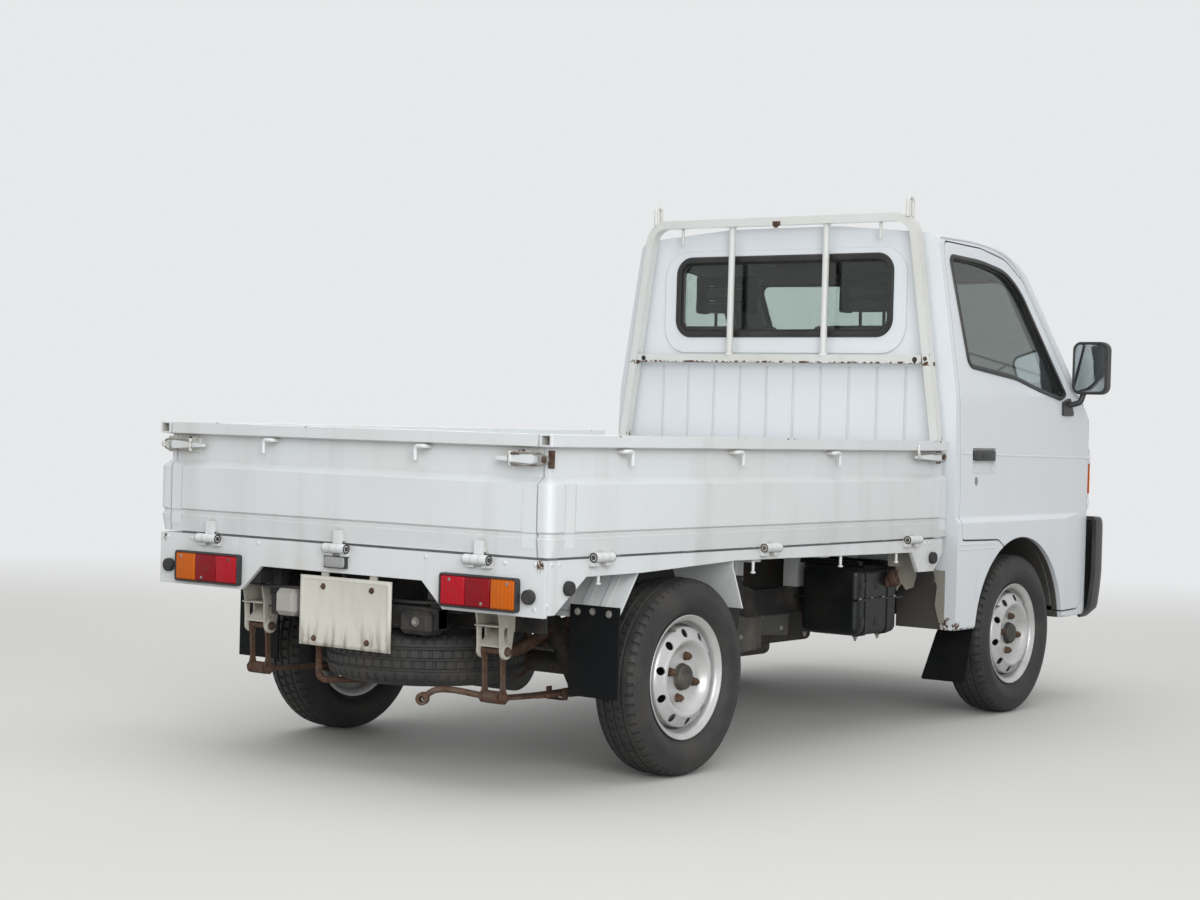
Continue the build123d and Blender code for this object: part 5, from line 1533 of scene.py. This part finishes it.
# Dampers, shields, exhaust tail, tank fittings
def makeUnderParts():
    bm = bmesh.new()
    for side in (-1, 1):
        foot = Vector((ahead(-0.075), side * 0.345, 0.222))
        head = Vector((ahead(-0.165), side * 0.262, 0.498))
        way = (head - foot).normalized()
        addRod(bm, foot, foot + way * 0.165, 0.024, None, 28, 0.003)
        addRod(bm, foot + way * 0.15, head, 0.017, None, 20)
        addRod(bm, foot + way * 0.12, foot + way * 0.215, 0.029, None, 28, 0.003)
        for place in (foot, head):
            addRod(bm, place - Vector((0.0, 0.02, 0)), place + Vector((0.0, 0.02, 0)), 0.019, None, 24, 0.003)
        addBlock(bm, (ahead(-0.105), side * 0.345 - 0.028, 0.196),
                 (ahead(-0.04), side * 0.345 + 0.028, 0.202), 0.001)
    newPiece(bm, "dampers", frameBlack)
    # sump below the engine
    bm = bmesh.new()
    addBlock(bm, (ahead(0.64), -0.17, 0.204), (ahead(1.18), 0.13, 0.262), 0.024, 5)
    newPiece(bm, "sump", castGrey)
    # dusty side sheets beside the engine
    bm = bmesh.new()
    outline = [(0.64, 0.375), (0.7, 0.25), (0.83, 0.258), (0.842, 0.3), (1.0, 0.29), (1.01, 0.395),
               (0.87, 0.43)]
    addPlate(bm, [(ahead(x), -0.338, z) for x, z in outline], (0, 0.004, 0))
    addBlock(bm, (ahead(0.828), -0.345, 0.262), (ahead(0.842), -0.331, 0.425), 0.002)
    addBlock(bm, (ahead(0.64), -0.342, 0.372), (ahead(1.01), -0.328, 0.384), 0.002)
    newPiece(bm, "sideSheets", dustySheet)
    bm = bmesh.new()
    for x, z in ((0.7, 0.335), (0.735, 0.3), (0.87, 0.395), (0.905, 0.385), (0.85, 0.355), (0.96, 0.315)):
        addHead(bm, (ahead(x), -0.3382, z), (0, -1, 0), 0.0055, 0.006)
    newPiece(bm, "sheetBolts", dullSteel)
    # exhaust tail pipe and silencer rims
    pipe = [(0.56, -0.245, 0.322), (0.5, -0.245, 0.322), (0.36, -0.262, 0.345), (0.22, -0.292, 0.392),
            (0.05, -0.3, 0.398), (-0.12, -0.3, 0.385), (-0.26, -0.306, 0.33), (-0.36, -0.31, 0.318)]
    makeWires("tailPipe", [alongTruck(pipe)], 0.0165, rustyIron)
    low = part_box("exhaust")[0]
    bm = bmesh.new()
    for x in (low.x + 0.004, low.x + 0.296):
        addSpun(bm, [(-0.006, 0.046), (-0.006, 0.05), (0.006, 0.05), (0.006, 0.046)], (x, -0.245, 0.32),
                (1, 0, 0), 40, closed=True)
    addRod(bm, (low.x - 0.02, -0.245, 0.322), (low.x + 0.01, -0.245, 0.322), 0.02, 0.04, 32)
    newPiece(bm, "silencerRims", rustyIron)


makeUnderParts()

tankLook = {"low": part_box("fuel_tank")[0], "high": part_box("fuel_tank")[1]}


def makeTankParts(look):
    low, high = look["low"], look["high"]
    outer = low.y
    bm = bmesh.new()
    centre = Vector((high.x - 0.072, outer + 0.006, 0.47))
    way = Vector((0.25, -1.0, 0.55)).normalized()
    addSpun(bm, [(-0.045, 0.02), (0.0, 0.0205), (0.004, 0.026), (0.007, 0.0275), (0.02, 0.0275),
                 (0.023, 0.0255), (0.024, 0.019), (0.0225, 0.0175), (0.0225, 0.006), (0.0275, 0.005),
                 (0.0275, 0.0)], centre, way, 32)
    addBlock(bm, centre + way * 0.018 - Vector((0.003, 0.006, 0.018)),
             centre + way * 0.03 + Vector((0.003, 0.004, 0.018)), 0.002)
    newPiece(bm, "tankFiller", rustyIron)
    hose = [(centre.x - 0.006, outer + 0.05, 0.452), (centre.x - 0.012, outer + 0.075, 0.47),
            (centre.x - 0.03, outer + 0.11, 0.508), (centre.x - 0.06, outer + 0.15, 0.512)]
    makeWires("fillerHose", [hose], 0.014, rubberBlack)
    bm = bmesh.new()
    for x in (0.058, 0.192):
        for y in (outer + 0.04, -0.372):
            addHead(bm, (low.x + x, y, 0.3008), (0, 0, -1), 0.0065, 0.008)
            addRod(bm, (low.x + x, y, 0.3), (low.x + x, y, 0.286), 0.0036, None, 10)
    for dx in (0.02, 0.09, 0.16, 0.23):
        addHead(bm, (low.x + dx, outer + 0.004, 0.4182), (0, 0, 1), 0.0042, 0.004)
    newPiece(bm, "tankBolts", dullSteel)
    # dents and stiffening ribs pressed in the tank's outer face
    bm = bmesh.new()
    for z, tall in ((0.345, 0.03), (0.458, 0.026)):
        for x, wide in ((low.x + 0.03, 0.03), (low.x + 0.115, 0.05)):
            addBlock(bm, (x, outer + 0.0075, z - tall / 2), (x + wide, outer + 0.0115, z + tall / 2), 0.0018,
                     3)
    newPiece(bm, "tankRibs", tankBlack)
    # bracket plate and ragged cream sheet between the tank and the cab
    bm = bmesh.new()
    outline = [(1.275, 0.515), (1.285, 0.43), (1.315, 0.452), (1.345, 0.43), (1.392, 0.436), (1.41, 0.47),
               (1.41, 0.515)]
    addPlate(bm, [(ahead(x), -0.56, z) for x, z in outline], (0, 0.003, 0))
    outline = [(1.15, 0.56), (1.16, 0.515), (1.3, 0.505), (1.34, 0.515), (1.34, 0.56)]
    addPlate(bm, [(ahead(x), -0.6, z) for x, z in outline], (0, 0.003, 0))
    newPiece(bm, "dustyBrackets", creamSheet)
    bm = bmesh.new()
    outline = [(-0.646, 0.325), (-0.628, 0.325), (-0.612, 0.38), (-0.618, 0.44), (-0.602, 0.492),
               (-0.646, 0.492)]
    addPlate(bm, [(ahead(1.4395), y, z) for y, z in outline], (0.003, 0, 0))
    newPiece(bm, "cabBackFlange", creamSheet)


makeTankParts(tankLook)
print("underbody made")

# Seats: cushions, backs and ladder headrests, puffed by a short cloth run
seatBlack = seatCloth("seatBlack", (0.03, 0.032, 0.034), (0.018, 0.019, 0.02))
padGreen = seatCloth("padGreen", (0.125, 0.135, 0.125), (0.07, 0.078, 0.072))
seatLook = {"middle": 0.29, "voxel": 0.01, "pressure": 4.0, "frames": 12, "cap": 0.007}
padTable = [
    # name, x from the front axle, y about the seat's middle, z, lean, finish
    ("seatCushion", (-0.385, -0.018), (-0.218, 0.218), (0.65, 0.738), 0.0, seatGrey),
    ("seatBack", (-0.388, -0.306), (-0.21, 0.21), (0.752, 1.286), -0.022, seatGrey),
    ("headrestSideIn", (-0.388, -0.326), (-0.114, -0.084), (1.322, 1.456), 0.0, seatBlack),
    ("headrestSideOut", (-0.388, -0.326), (0.084, 0.114), (1.322, 1.456), 0.0, seatBlack),
    ("headrestPadLow", (-0.384, -0.332), (-0.08, 0.08), (1.326, 1.36), 0.0, padGreen),
    ("headrestPadMiddle", (-0.386, -0.33), (-0.08, 0.08), (1.37, 1.41), 0.0, padGreen),
    ("headrestPadHigh", (-0.384, -0.332), (-0.08, 0.08), (1.42, 1.453), 0.0, seatBlack),
]


def makePads():
    pads = []
    for word, side in sides.items():
        for name, (x0, x1), (y0, y1), (z0, z1), lean, finish in padTable:
            low, high = sorted((side * (seatLook["middle"] + y0), side * (seatLook["middle"] + y1)))
            bm = bmesh.new()
            thin = min(x1 - x0, y1 - y0, z1 - z0)
            addBlock(bm, (fore(x0), low, z0), (fore(x1), high, z1), min(thin * 0.32, 0.022), 4)
            for vert in bm.verts:
                vert.co.x += lean * (vert.co.z - z0) / (z1 - z0)
            replaced = ("seats",) if name == "seatCushion" else ()
            pad = newPiece(bm, name + "_" + word, finish, replaced=replaced, smooth=60)
            pads.append(pad)
    return pads


def puff(pads, look):
    # voxel remesh, pressure cloth with gravity off, moves capped, cloth left off the piece
    rests = []
    for pad in pads:
        remesh = pad.modifiers.new("remesh", "REMESH")
        remesh.mode = "VOXEL"
        remesh.voxel_size = look["voxel"] if "seat" in pad.name else look["voxel"] * 0.6
        setMesh(pad)
        rests.append([vert.co.copy() for vert in pad.data.vertices])
        cloth = pad.modifiers.new("cloth", "CLOTH")
        cloth.settings.use_pressure = True
        cloth.settings.uniform_pressure_force = look["pressure"]
        cloth.settings.effector_weights.gravity = 0.0
        cloth.settings.quality = 4
    for step in range(1, look["frames"] + 1):
        scene.frame_set(step)
    for pad, rest in zip(pads, rests):
        setMesh(pad)
        for vert, start in zip(pad.data.vertices, rest):
            move = vert.co - start
            if move.length > look["cap"]:
                vert.co = start + move.normalized() * look["cap"]
    scene.frame_set(1)


# Sewn channels across the cushions and backs: (piece, axis, places, depth)
seamTable = [("seatCushion", 0, (-0.29, -0.2, -0.11), 0.005), ("seatBack", 2, (0.9, 1.02, 1.14, 1.23), 0.005)]


def sewChannels(pads):
    for pad in pads:
        for name, axis, places, depth in seamTable:
            if not pad.name.startswith(name + "_"):
                continue
            side = 1 if pad.name.endswith("left") else -1
            pad.data.update()
            for vert in pad.data.vertices:
                place = vert.co[axis] - (frontAxle if axis == 0 else 0.0)
                across = abs(vert.co.y - side * seatLook["middle"])
                gap = min(abs(place - seam) for seam in places)
                edge = abs(across - 0.15)
                inside = across < 0.15
                pull = 0.0
                if inside and gap < 0.012:
                    pull = depth * (1 - gap / 0.012) ** 0.7
                if edge < 0.01:
                    pull = max(pull, depth * (1 - edge / 0.01) ** 0.7)
                vert.co -= vert.normal * pull


pads = makePads()
puff(pads, seatLook)
sewChannels(pads)
for pad in pads:
    finer = pad.modifiers.new("finer", "SUBSURF")
    finer.levels = 1
    finer.render_levels = 1
    pad.data.shade_smooth()
print("seats made")


def makeSeatFrames():
    bm = bmesh.new()
    for side in (-1, 1):
        y = side * seatLook["middle"]
        for dy in (-0.045, 0.045):
            addRod(bm, (fore(-0.355), y + dy, 1.272), (fore(-0.357), y + dy, 1.345), 0.0055, None, 16)
        for z in (1.365, 1.415):
            addBlock(bm, (fore(-0.362), y - 0.092, z - 0.003), (fore(-0.352), y + 0.092, z + 0.003), 0.001)
        for dy in (-0.19, 0.19):
            addBlock(bm, (fore(-0.38), y + dy - 0.014, 0.64), (fore(-0.03), y + dy + 0.014, 0.652), 0.002)
        addRod(bm, (fore(-0.372), y - 0.214, 0.752), (fore(-0.372), y + 0.214, 0.752), 0.012, None, 20, 0.002)
    newPiece(bm, "seatFrames", blackPlastic)


makeSeatFrames()

# Belts, with their anchors, buckles and reels
beltLook = {"half": 0.023, "thick": 0.0016,
            # each place: along, out and up, then the way in which the belt's width runs
            "routes": [[(0.006, 0.518, 1.4, 0.2, 1), (0.004, 0.542, 1.3, 0.3, 1),
                        (0.002, 0.566, 1.15, 0.4, 1), (0.002, 0.586, 0.95, 0.5, 1),
                        (0.002, 0.594, 0.76, 0.5, 1)],
                       [(0.01, 0.516, 1.398, 0.3, 1), (0.03, 0.536, 1.29, 0.6, 1), (0.06, 0.552, 1.1, 1, 1),
                        (0.075, 0.558, 0.86, 1, 0.8), (0.08, 0.556, 0.668, 1, 0.6)]]}


def addBand(bm, route, half, thick):
    # a flat band through places, each with the way its width runs
    rows = []
    for place, way in route:
        middle, way = Vector(place), Vector(way).normalized()
        rows.append((middle - way * half, middle + way * half))
    verts = [(bm.verts.new(a), bm.verts.new(b)) for a, b in rows]
    faces = [bm.faces.new((low[0], low[1], high[1], high[0])) for low, high in zip(verts, verts[1:])]
    bmesh.ops.solidify(bm, geom=faces, thickness=thick)


def makeBelts(word, side, look):
    bm = bmesh.new()
    x = fore(-0.418)
    for route in look["routes"]:
        places = [((x + dx, side * y, z), (wayX, side * wayY, 0)) for dx, y, z, wayX, wayY in route]
        addBand(bm, places, look["half"], look["thick"])
    newPiece(bm, "belt_" + word, seatBlack, smooth=50)
    bm = bmesh.new()
    addSpun(bm, [(-0.004, 0.024), (0.006, 0.024), (0.012, 0.02), (0.0135, 0.01), (0.0135, 0.0)],
            Vector((x - 0.002, side * 0.518, 1.415)), (1, 0, 0), 28)
    addBlock(bm, (x, side * 0.518 - 0.03, 1.392), (x + 0.009, side * 0.518 + 0.03, 1.404), 0.003, 3)
    addBlock(bm, (x - 0.004, side * 0.566, 0.645), (x + 0.05, side * 0.618, 0.76), 0.006, 3)
    addBlock(bm, (fore(-0.3) - 0.011, side * 0.038 - 0.014, 0.66),
             (fore(-0.3) + 0.011, side * 0.038 + 0.01, 0.8), 0.004, 3)
    addBlock(bm, (fore(-0.3) - 0.015, side * 0.038 - 0.016, 0.77),
             (fore(-0.3) + 0.015, side * 0.038 + 0.012, 0.832), 0.005, 3)
    newPiece(bm, "beltFittings_" + word, blackPlastic)


for word, side in sides.items():
    makeBelts(word, side, beltLook)

# Lining under the roof, visors, inner mirror
liningCloth = seatCloth("liningCloth", (0.42, 0.385, 0.32), (0.3, 0.27, 0.22))
liningLook = {"rear": -0.415, "front": 0.11, "half": 0.505, "below": 0.043, "crown": 1.622, "bow": 2.6,
              "profile": [(-0.705, 1.62), (-0.02, 1.574), (0.207, 1.494)], "steps": (14, 20)}


def roofAt(x, y):
    # the cab's roof, ahead of the front axle
    rear, middle, front = liningLook["profile"]
    start, end = (rear, middle) if x < middle[0] else (middle, front)
    along = start[1] + (end[1] - start[1]) * (x - start[0]) / (end[0] - start[0])
    return min(along, liningLook["crown"] - y ** 2 / (2 * liningLook["bow"]))


def makeLining(look):
    bm = bmesh.new()
    bmesh.ops.create_grid(bm, x_segments=look["steps"][0], y_segments=look["steps"][1], size=1.0)
    wide = look["front"] - look["rear"]
    for vert in bm.verts:
        share = (vert.co.x + 1) / 2
        y = vert.co.y * look["half"]
        x = look["rear"] + wide * share
        vert.co = Vector((fore(x), y, roofAt(x, y) - look["below"]))
    bmesh.ops.solidify(bm, geom=bm.faces[:], thickness=0.004)
    newPiece(bm, "roofLining", liningCloth, smooth=40)
    bm = bmesh.new()
    for side in (-1, 1):
        turn = tilted(19)
        addBlock(bm, (fore(-0.008), side * 0.105, 1.476), (fore(0.128), side * 0.43, 1.49), 0.006, 4, turn)
        addRod(bm, (fore(0.118), side * 0.455, 1.461), (fore(0.118), side * 0.1, 1.461), 0.005, None, 16)
    newPiece(bm, "sunVisors", liningCloth)
    bm = bmesh.new()
    addBlock(bm, (fore(0.15), -0.11, 1.392), (fore(0.172), 0.11, 1.446), 0.008, 4)
    addRod(bm, (fore(0.166), 0, 1.425), (fore(0.176), 0, 1.466), 0.0065, 0.01, 16)
    newPiece(bm, "innerMirror", blackPlastic)
    bm = bmesh.new()
    corners = [((fore(0.1492), y, z), 0.006) for y, z in (
        (-0.103, 1.399), (-0.103, 1.439), (0.103, 1.439), (0.103, 1.399))]
    ringed(bm, corners, [(0.001, 0.0006)], (-1, 0, 0))
    newPiece(bm, "innerMirrorGlass", mirrorFinish)


makeLining(liningLook)


# Door cards with armrest, winder and pull, on the leaning inner side of the doors
def doorLining(z):
    return 0.637 - (z - 0.72) * 0.0219


def makeDoorCard(word, side):
    body = "door_" + word
    bm = bmesh.new()
    outline = [(-0.405, 0.7), (0.235, 0.7), (0.3, 0.78), (0.322, 1.01), (-0.03, 1.06), (-0.35, 1.082),
               (-0.405, 1.07)]
    bm.faces.new([bm.verts.new((fore(x), side * doorLining(z), z)) for x, z in outline])
    for vert in list(bm.verts):
        bmesh.ops.bevel(bm, geom=[vert], offset=0.03, segments=5, profile=0.5, affect="VERTICES", material=-1)
    bm.faces.ensure_lookup_table()
    grown = bmesh.ops.extrude_face_region(bm, geom=list(bm.faces), use_keep_orig=True)["geom"]
    bmesh.ops.translate(bm, vec=(0, -side * 0.0055, 0), verts=vertsOf(grown))
    newPiece(bm, "doorCard_" + word, trimGrey, body)
    bm = bmesh.new()
    addBlock(bm, (fore(-0.345), side * 0.644, 0.838), (fore(-0.075), side * 0.604, 0.868), 0.008, 4)
    addBlock(bm, (fore(-0.33), side * 0.64, 0.715), (fore(0.19), side * 0.62, 0.785), 0.006, 4)
    addBlock(bm, (fore(0.06), side * 0.64, 0.945), (fore(0.15), side * 0.62, 0.985), 0.006, 4)
    newPiece(bm, "doorFittings_" + word, blackPlastic, body)
    bm = bmesh.new()
    centre = Vector((fore(0.07), side * 0.64, 0.868))
    addRod(bm, centre, centre - Vector((0, side * 0.02, 0)), 0.017, None, 24, 0.003)
    addRod(bm, centre - Vector((0, side * 0.019, 0)), centre + Vector((-0.062, -side * 0.029, -0.04)), 0.0075,
           0.006, 16, 0.001)
    knob = centre + Vector((-0.062, -side * 0.024, -0.04))
    addSpun(bm, [(0.0, 0.0), (0.0, 0.01), (0.006, 0.0125), (0.018, 0.0115), (0.022, 0.007), (0.0225, 0.0)],
            knob, (0, -side, 0), 20)
    newPiece(bm, "windowWinder_" + word, blackPlastic, body)


for word, side in sides.items():
    makeDoorCard(word, side)
print("cab lined")

# Dash: hood and dials, vents, centre panel, glovebox
def makeDash():
    y = -0.29
    bm = bmesh.new()
    turn = tilted(-24)
    addBlock(bm, (fore(0.318), y - 0.165, 0.985), (fore(0.42), y + 0.165, 1.075), 0.022, 5, turn)
    newPiece(bm, "dialHood", blackPlastic)
    faces = bmesh.new()
    hands = bmesh.new()
    way = Vector((-1, 0, 0.45)).normalized()
    for dy, radius in ((-0.052, 0.046), (0.058, 0.04), (0.118, 0.022), (-0.122, 0.022)):
        centre = Vector((fore(0.318), y + dy, 1.03)) - way * 0.004
        addSpun(faces, [(0.0, 0.0), (0.0, radius), (0.006, radius * 1.02), (0.008, radius * 1.1),
                        (0.002, radius * 1.16)], centre, way, 40)
        level = Vector((0, 1, 0))
        up = way.cross(level)
        marks = 9 if radius > 0.03 else 4
        for i in range(marks):
            turn = math.radians(-130 + 260 * i / (marks - 1))
            out = up * math.cos(turn) + level * math.sin(turn)
            start = centre + way * 0.0012 + out * radius * 0.8
            addRod(hands, start, start + out * radius * 0.14, 0.0011, None, 6)
        out = up * math.cos(-2.1) + level * math.sin(-2.1)
        addRod(hands, centre + way * 0.0016, centre + way * 0.0016 + out * radius * 0.74, 0.0015, 0.0006, 6)
    newPiece(faces, "dialFaces", gasketRubber)
    newPiece(hands, "dialMarks", creamSheet)
    bm = bmesh.new()
    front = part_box("dashboard")[0].x
    for vent in (-0.53, -0.06, 0.06, 0.53):
        for row in range(5):
            z = 0.952 + row * 0.012
            addBlock(bm, (front + 0.01, vent - 0.044, z - 0.0025), (front + 0.034, vent + 0.044, z + 0.0025),
                     0.001, 2, tilted(25))
        addBlock(bm, (front + 0.02, vent - 0.05, 0.94), (front + 0.024, vent + 0.05, 1.01), 0.001)
    addBlock(bm, (front - 0.004, -0.095, 0.838), (front + 0.012, 0.095, 0.925), 0.004, 3)
    newPiece(bm, "dashVents", gasketRubber)
    bm = bmesh.new()
    for i in range(3):
        centre = Vector((front - 0.004, -0.056 + i * 0.056, 0.86))
        addSpun(bm, [(0.0, 0.017), (0.01, 0.0155), (0.014, 0.0135), (0.015, 0.009), (0.015, 0.0)], centre,
                (-1, 0, 0), 28)
    addBlock(bm, (front - 0.006, -0.082, 0.888), (front - 0.003, 0.082, 0.918), 0.001)
    addBlock(bm, (front - 0.006, 0.135, 0.848), (front + 0.006, 0.5, 0.955), 0.008, 4)
    addBlock(bm, (front - 0.011, 0.29, 0.93), (front - 0.004, 0.345, 0.944), 0.003, 3)
    newPiece(bm, "dashPanels", trimGrey)


makeDash()


# Pedals, gear lever, handbrake, column cowl and stalks
def makeControls():
    bm = bmesh.new()
    for y in (-0.4, -0.3, -0.195):
        top = Vector((fore(0.47), y, 0.84))
        foot = Vector((fore(0.4), y, 0.56))
        addRod(bm, top, foot, 0.008, 0.007, 12)
        turn = tilted(38)
        addBlock(bm, foot - Vector((0.028, 0.03, 0.004)), foot + Vector((0.028, 0.03, 0.006)), 0.003, 3, turn)
    newPiece(bm, "pedals", gasketRubber)
    bm = bmesh.new()
    base = Vector((fore(-0.02), -0.04, 0.452))
    knob = Vector((fore(0.03), -0.045, 0.76))
    addSpun(bm, [(0.0, 0.062), (0.01, 0.058), (0.016, 0.044), (0.022, 0.05), (0.03, 0.036), (0.036, 0.042),
                 (0.046, 0.026), (0.052, 0.031), (0.064, 0.016), (0.09, 0.011), (0.095, 0.0)], base,
            knob - base, 28)
    newPiece(bm, "gearGaiter", rubberBlack)
    bm = bmesh.new()
    addRod(bm, base + (knob - base) * 0.2, knob, 0.007, 0.006, 16)
    addRod(bm, (fore(-0.215), 0.01, 0.66), (fore(-0.03), 0.01, 0.735), 0.009, 0.009, 16)
    newPiece(bm, "leverRods", dullSteel)
    bm = bmesh.new()
    addSpun(bm, [(-0.02, 0.0), (-0.02, 0.011), (-0.008, 0.019), (0.008, 0.023), (0.02, 0.02), (0.027, 0.01),
                 (0.028, 0.0)],
            knob, knob - base, 28)
    grip = Vector((fore(-0.055), 0.01, 0.7248))
    way = Vector((0.185, 0, 0.075))
    addSpun(bm, [(0.0, 0.0), (0.0, 0.012), (0.006, 0.0145), (0.06, 0.0155), (0.11, 0.0145), (0.116, 0.009),
                 (0.1165, 0.0)], grip, way, 24)
    axis = Vector((-0.5, 0, 0.866))
    centre = Vector((fore(0.125), -0.29, 0.985))
    start = centre - axis * 0.075
    addSpun(bm, [(0.0, 0.0), (0.0, 0.034), (-0.01, 0.04), (-0.11, 0.048), (-0.17, 0.046), (-0.18, 0.036),
                 (-0.18, 0.0)],
            start, axis, 32)
    for side in (-1, 1):
        stalk = start - axis * 0.04
        addRod(bm, stalk, stalk + Vector((-0.02, side * 0.155, 0.02)), 0.0062, 0.0078, 16, 0.001)
    newPiece(bm, "gripsAndCowl", blackPlastic)
    floor = bmesh.new()
    addBlock(floor, (fore(0.005), -0.385, 0.4545), (fore(0.54), 0.385, 0.4595), 0.002)
    newPiece(floor, "floorMat", rubberBlack)


makeControls()
print("controls made")


# Floor and light
stageLook = {"floor": (0.62, 0.615, 0.6), "bounce": (0.3, 0.3, 0.29), "floorReach": 60.0, "fade": (2.8, 8.0),
             "sky": (0.8, 0.81, 0.82), "ambient": 0.6}
lampTable = [
    # name, place, aim, size, watts, colour
    ("overhead", (-1.0, -0.5, 6.5), (0, 0, 0.6), 7.0, 176.0, (1.0, 1.0, 1.0)),
    ("behindRight", (-6.5, -6.0, 3.0), (0, 0, 0.6), 5.0, 438.0, (0.99, 1.0, 1.0)),
    ("frontLeft", (6.5, 5.5, 3.2), (0, 0, 0.6), 5.0, 168.0, (0.97, 0.99, 1.0)),
]


def raysSeen(bench):
    # 1 for rays from the camera, direct, mirrored or through glass
    seen = bench.node("ShaderNodeLightPath", output="Is Camera Ray")
    for word in ("Is Glossy Ray", "Is Transmission Ray"):
        seen = seen.most(bench.node("ShaderNodeLightPath", output=word))
    return seen


def makeStage(look):
    bm = bmesh.new()
    bmesh.ops.create_grid(bm, x_segments=2, y_segments=2, size=look["floorReach"])
    mesh = bpy.data.meshes.new("floor")
    bm.to_mesh(mesh)
    bm.free()
    floor = bpy.data.objects.new("floor", mesh)
    scene.collection.objects.link(floor)
    # the floor pales into the sky with distance, and throws less light back than the camera sees
    ground = Finish("floorFinish", roughness=0.9)
    x, y = ground.axes()[:2]
    seen = raysSeen(ground)
    ground.set("baseColor", ground.mix(seen, look["bounce"], look["floor"]))
    far = (x * x + y * y).rise(look["fade"][0] ** 2, look["fade"][1] ** 2) * seen
    glow = ground.node("ShaderNodeEmission", sockets={"Color": look["sky"]})
    lit = Channel(ground, ground.shader.outputs[0])
    both = ground.node("ShaderNodeMixShader", sockets=[far, lit, glow])
    output = next(item for item in ground.tree.nodes if item.type == "OUTPUT_MATERIAL")
    ground.feed(output.inputs["Surface"], both)
    mesh.materials.append(ground.material)

    world = bpy.data.worlds.new("studio")
    world.use_nodes = True
    scene.world = world
    sky = NodeBench(world.node_tree)
    seen = raysSeen(sky)
    lit = sky.node("ShaderNodeBackground", sockets={"Color": (1, 1, 1), "Strength": look["ambient"]})
    shown = sky.node("ShaderNodeBackground", sockets={"Color": look["sky"]})
    both = sky.node("ShaderNodeMixShader", sockets=[seen, lit, shown])
    sky.node("ShaderNodeOutputWorld", sockets={"Surface": both})


def makeLamps(table):
    for name, place, aim, size, watts, colour in table:
        data = bpy.data.lights.new(name, "AREA")
        data.size = size
        data.energy = watts
        data.color = colour
        lamp = bpy.data.objects.new(name, data)
        way = Vector(aim) - Vector(place)
        lamp.matrix_world = Matrix.Translation(Vector(place)) @ way.to_track_quat("-Z",
                                                                                  "Y").to_matrix().to_4x4()
        scene.collection.objects.link(lamp)


makeStage(stageLook)
makeLamps(lampTable)
print("stage and lamps set")
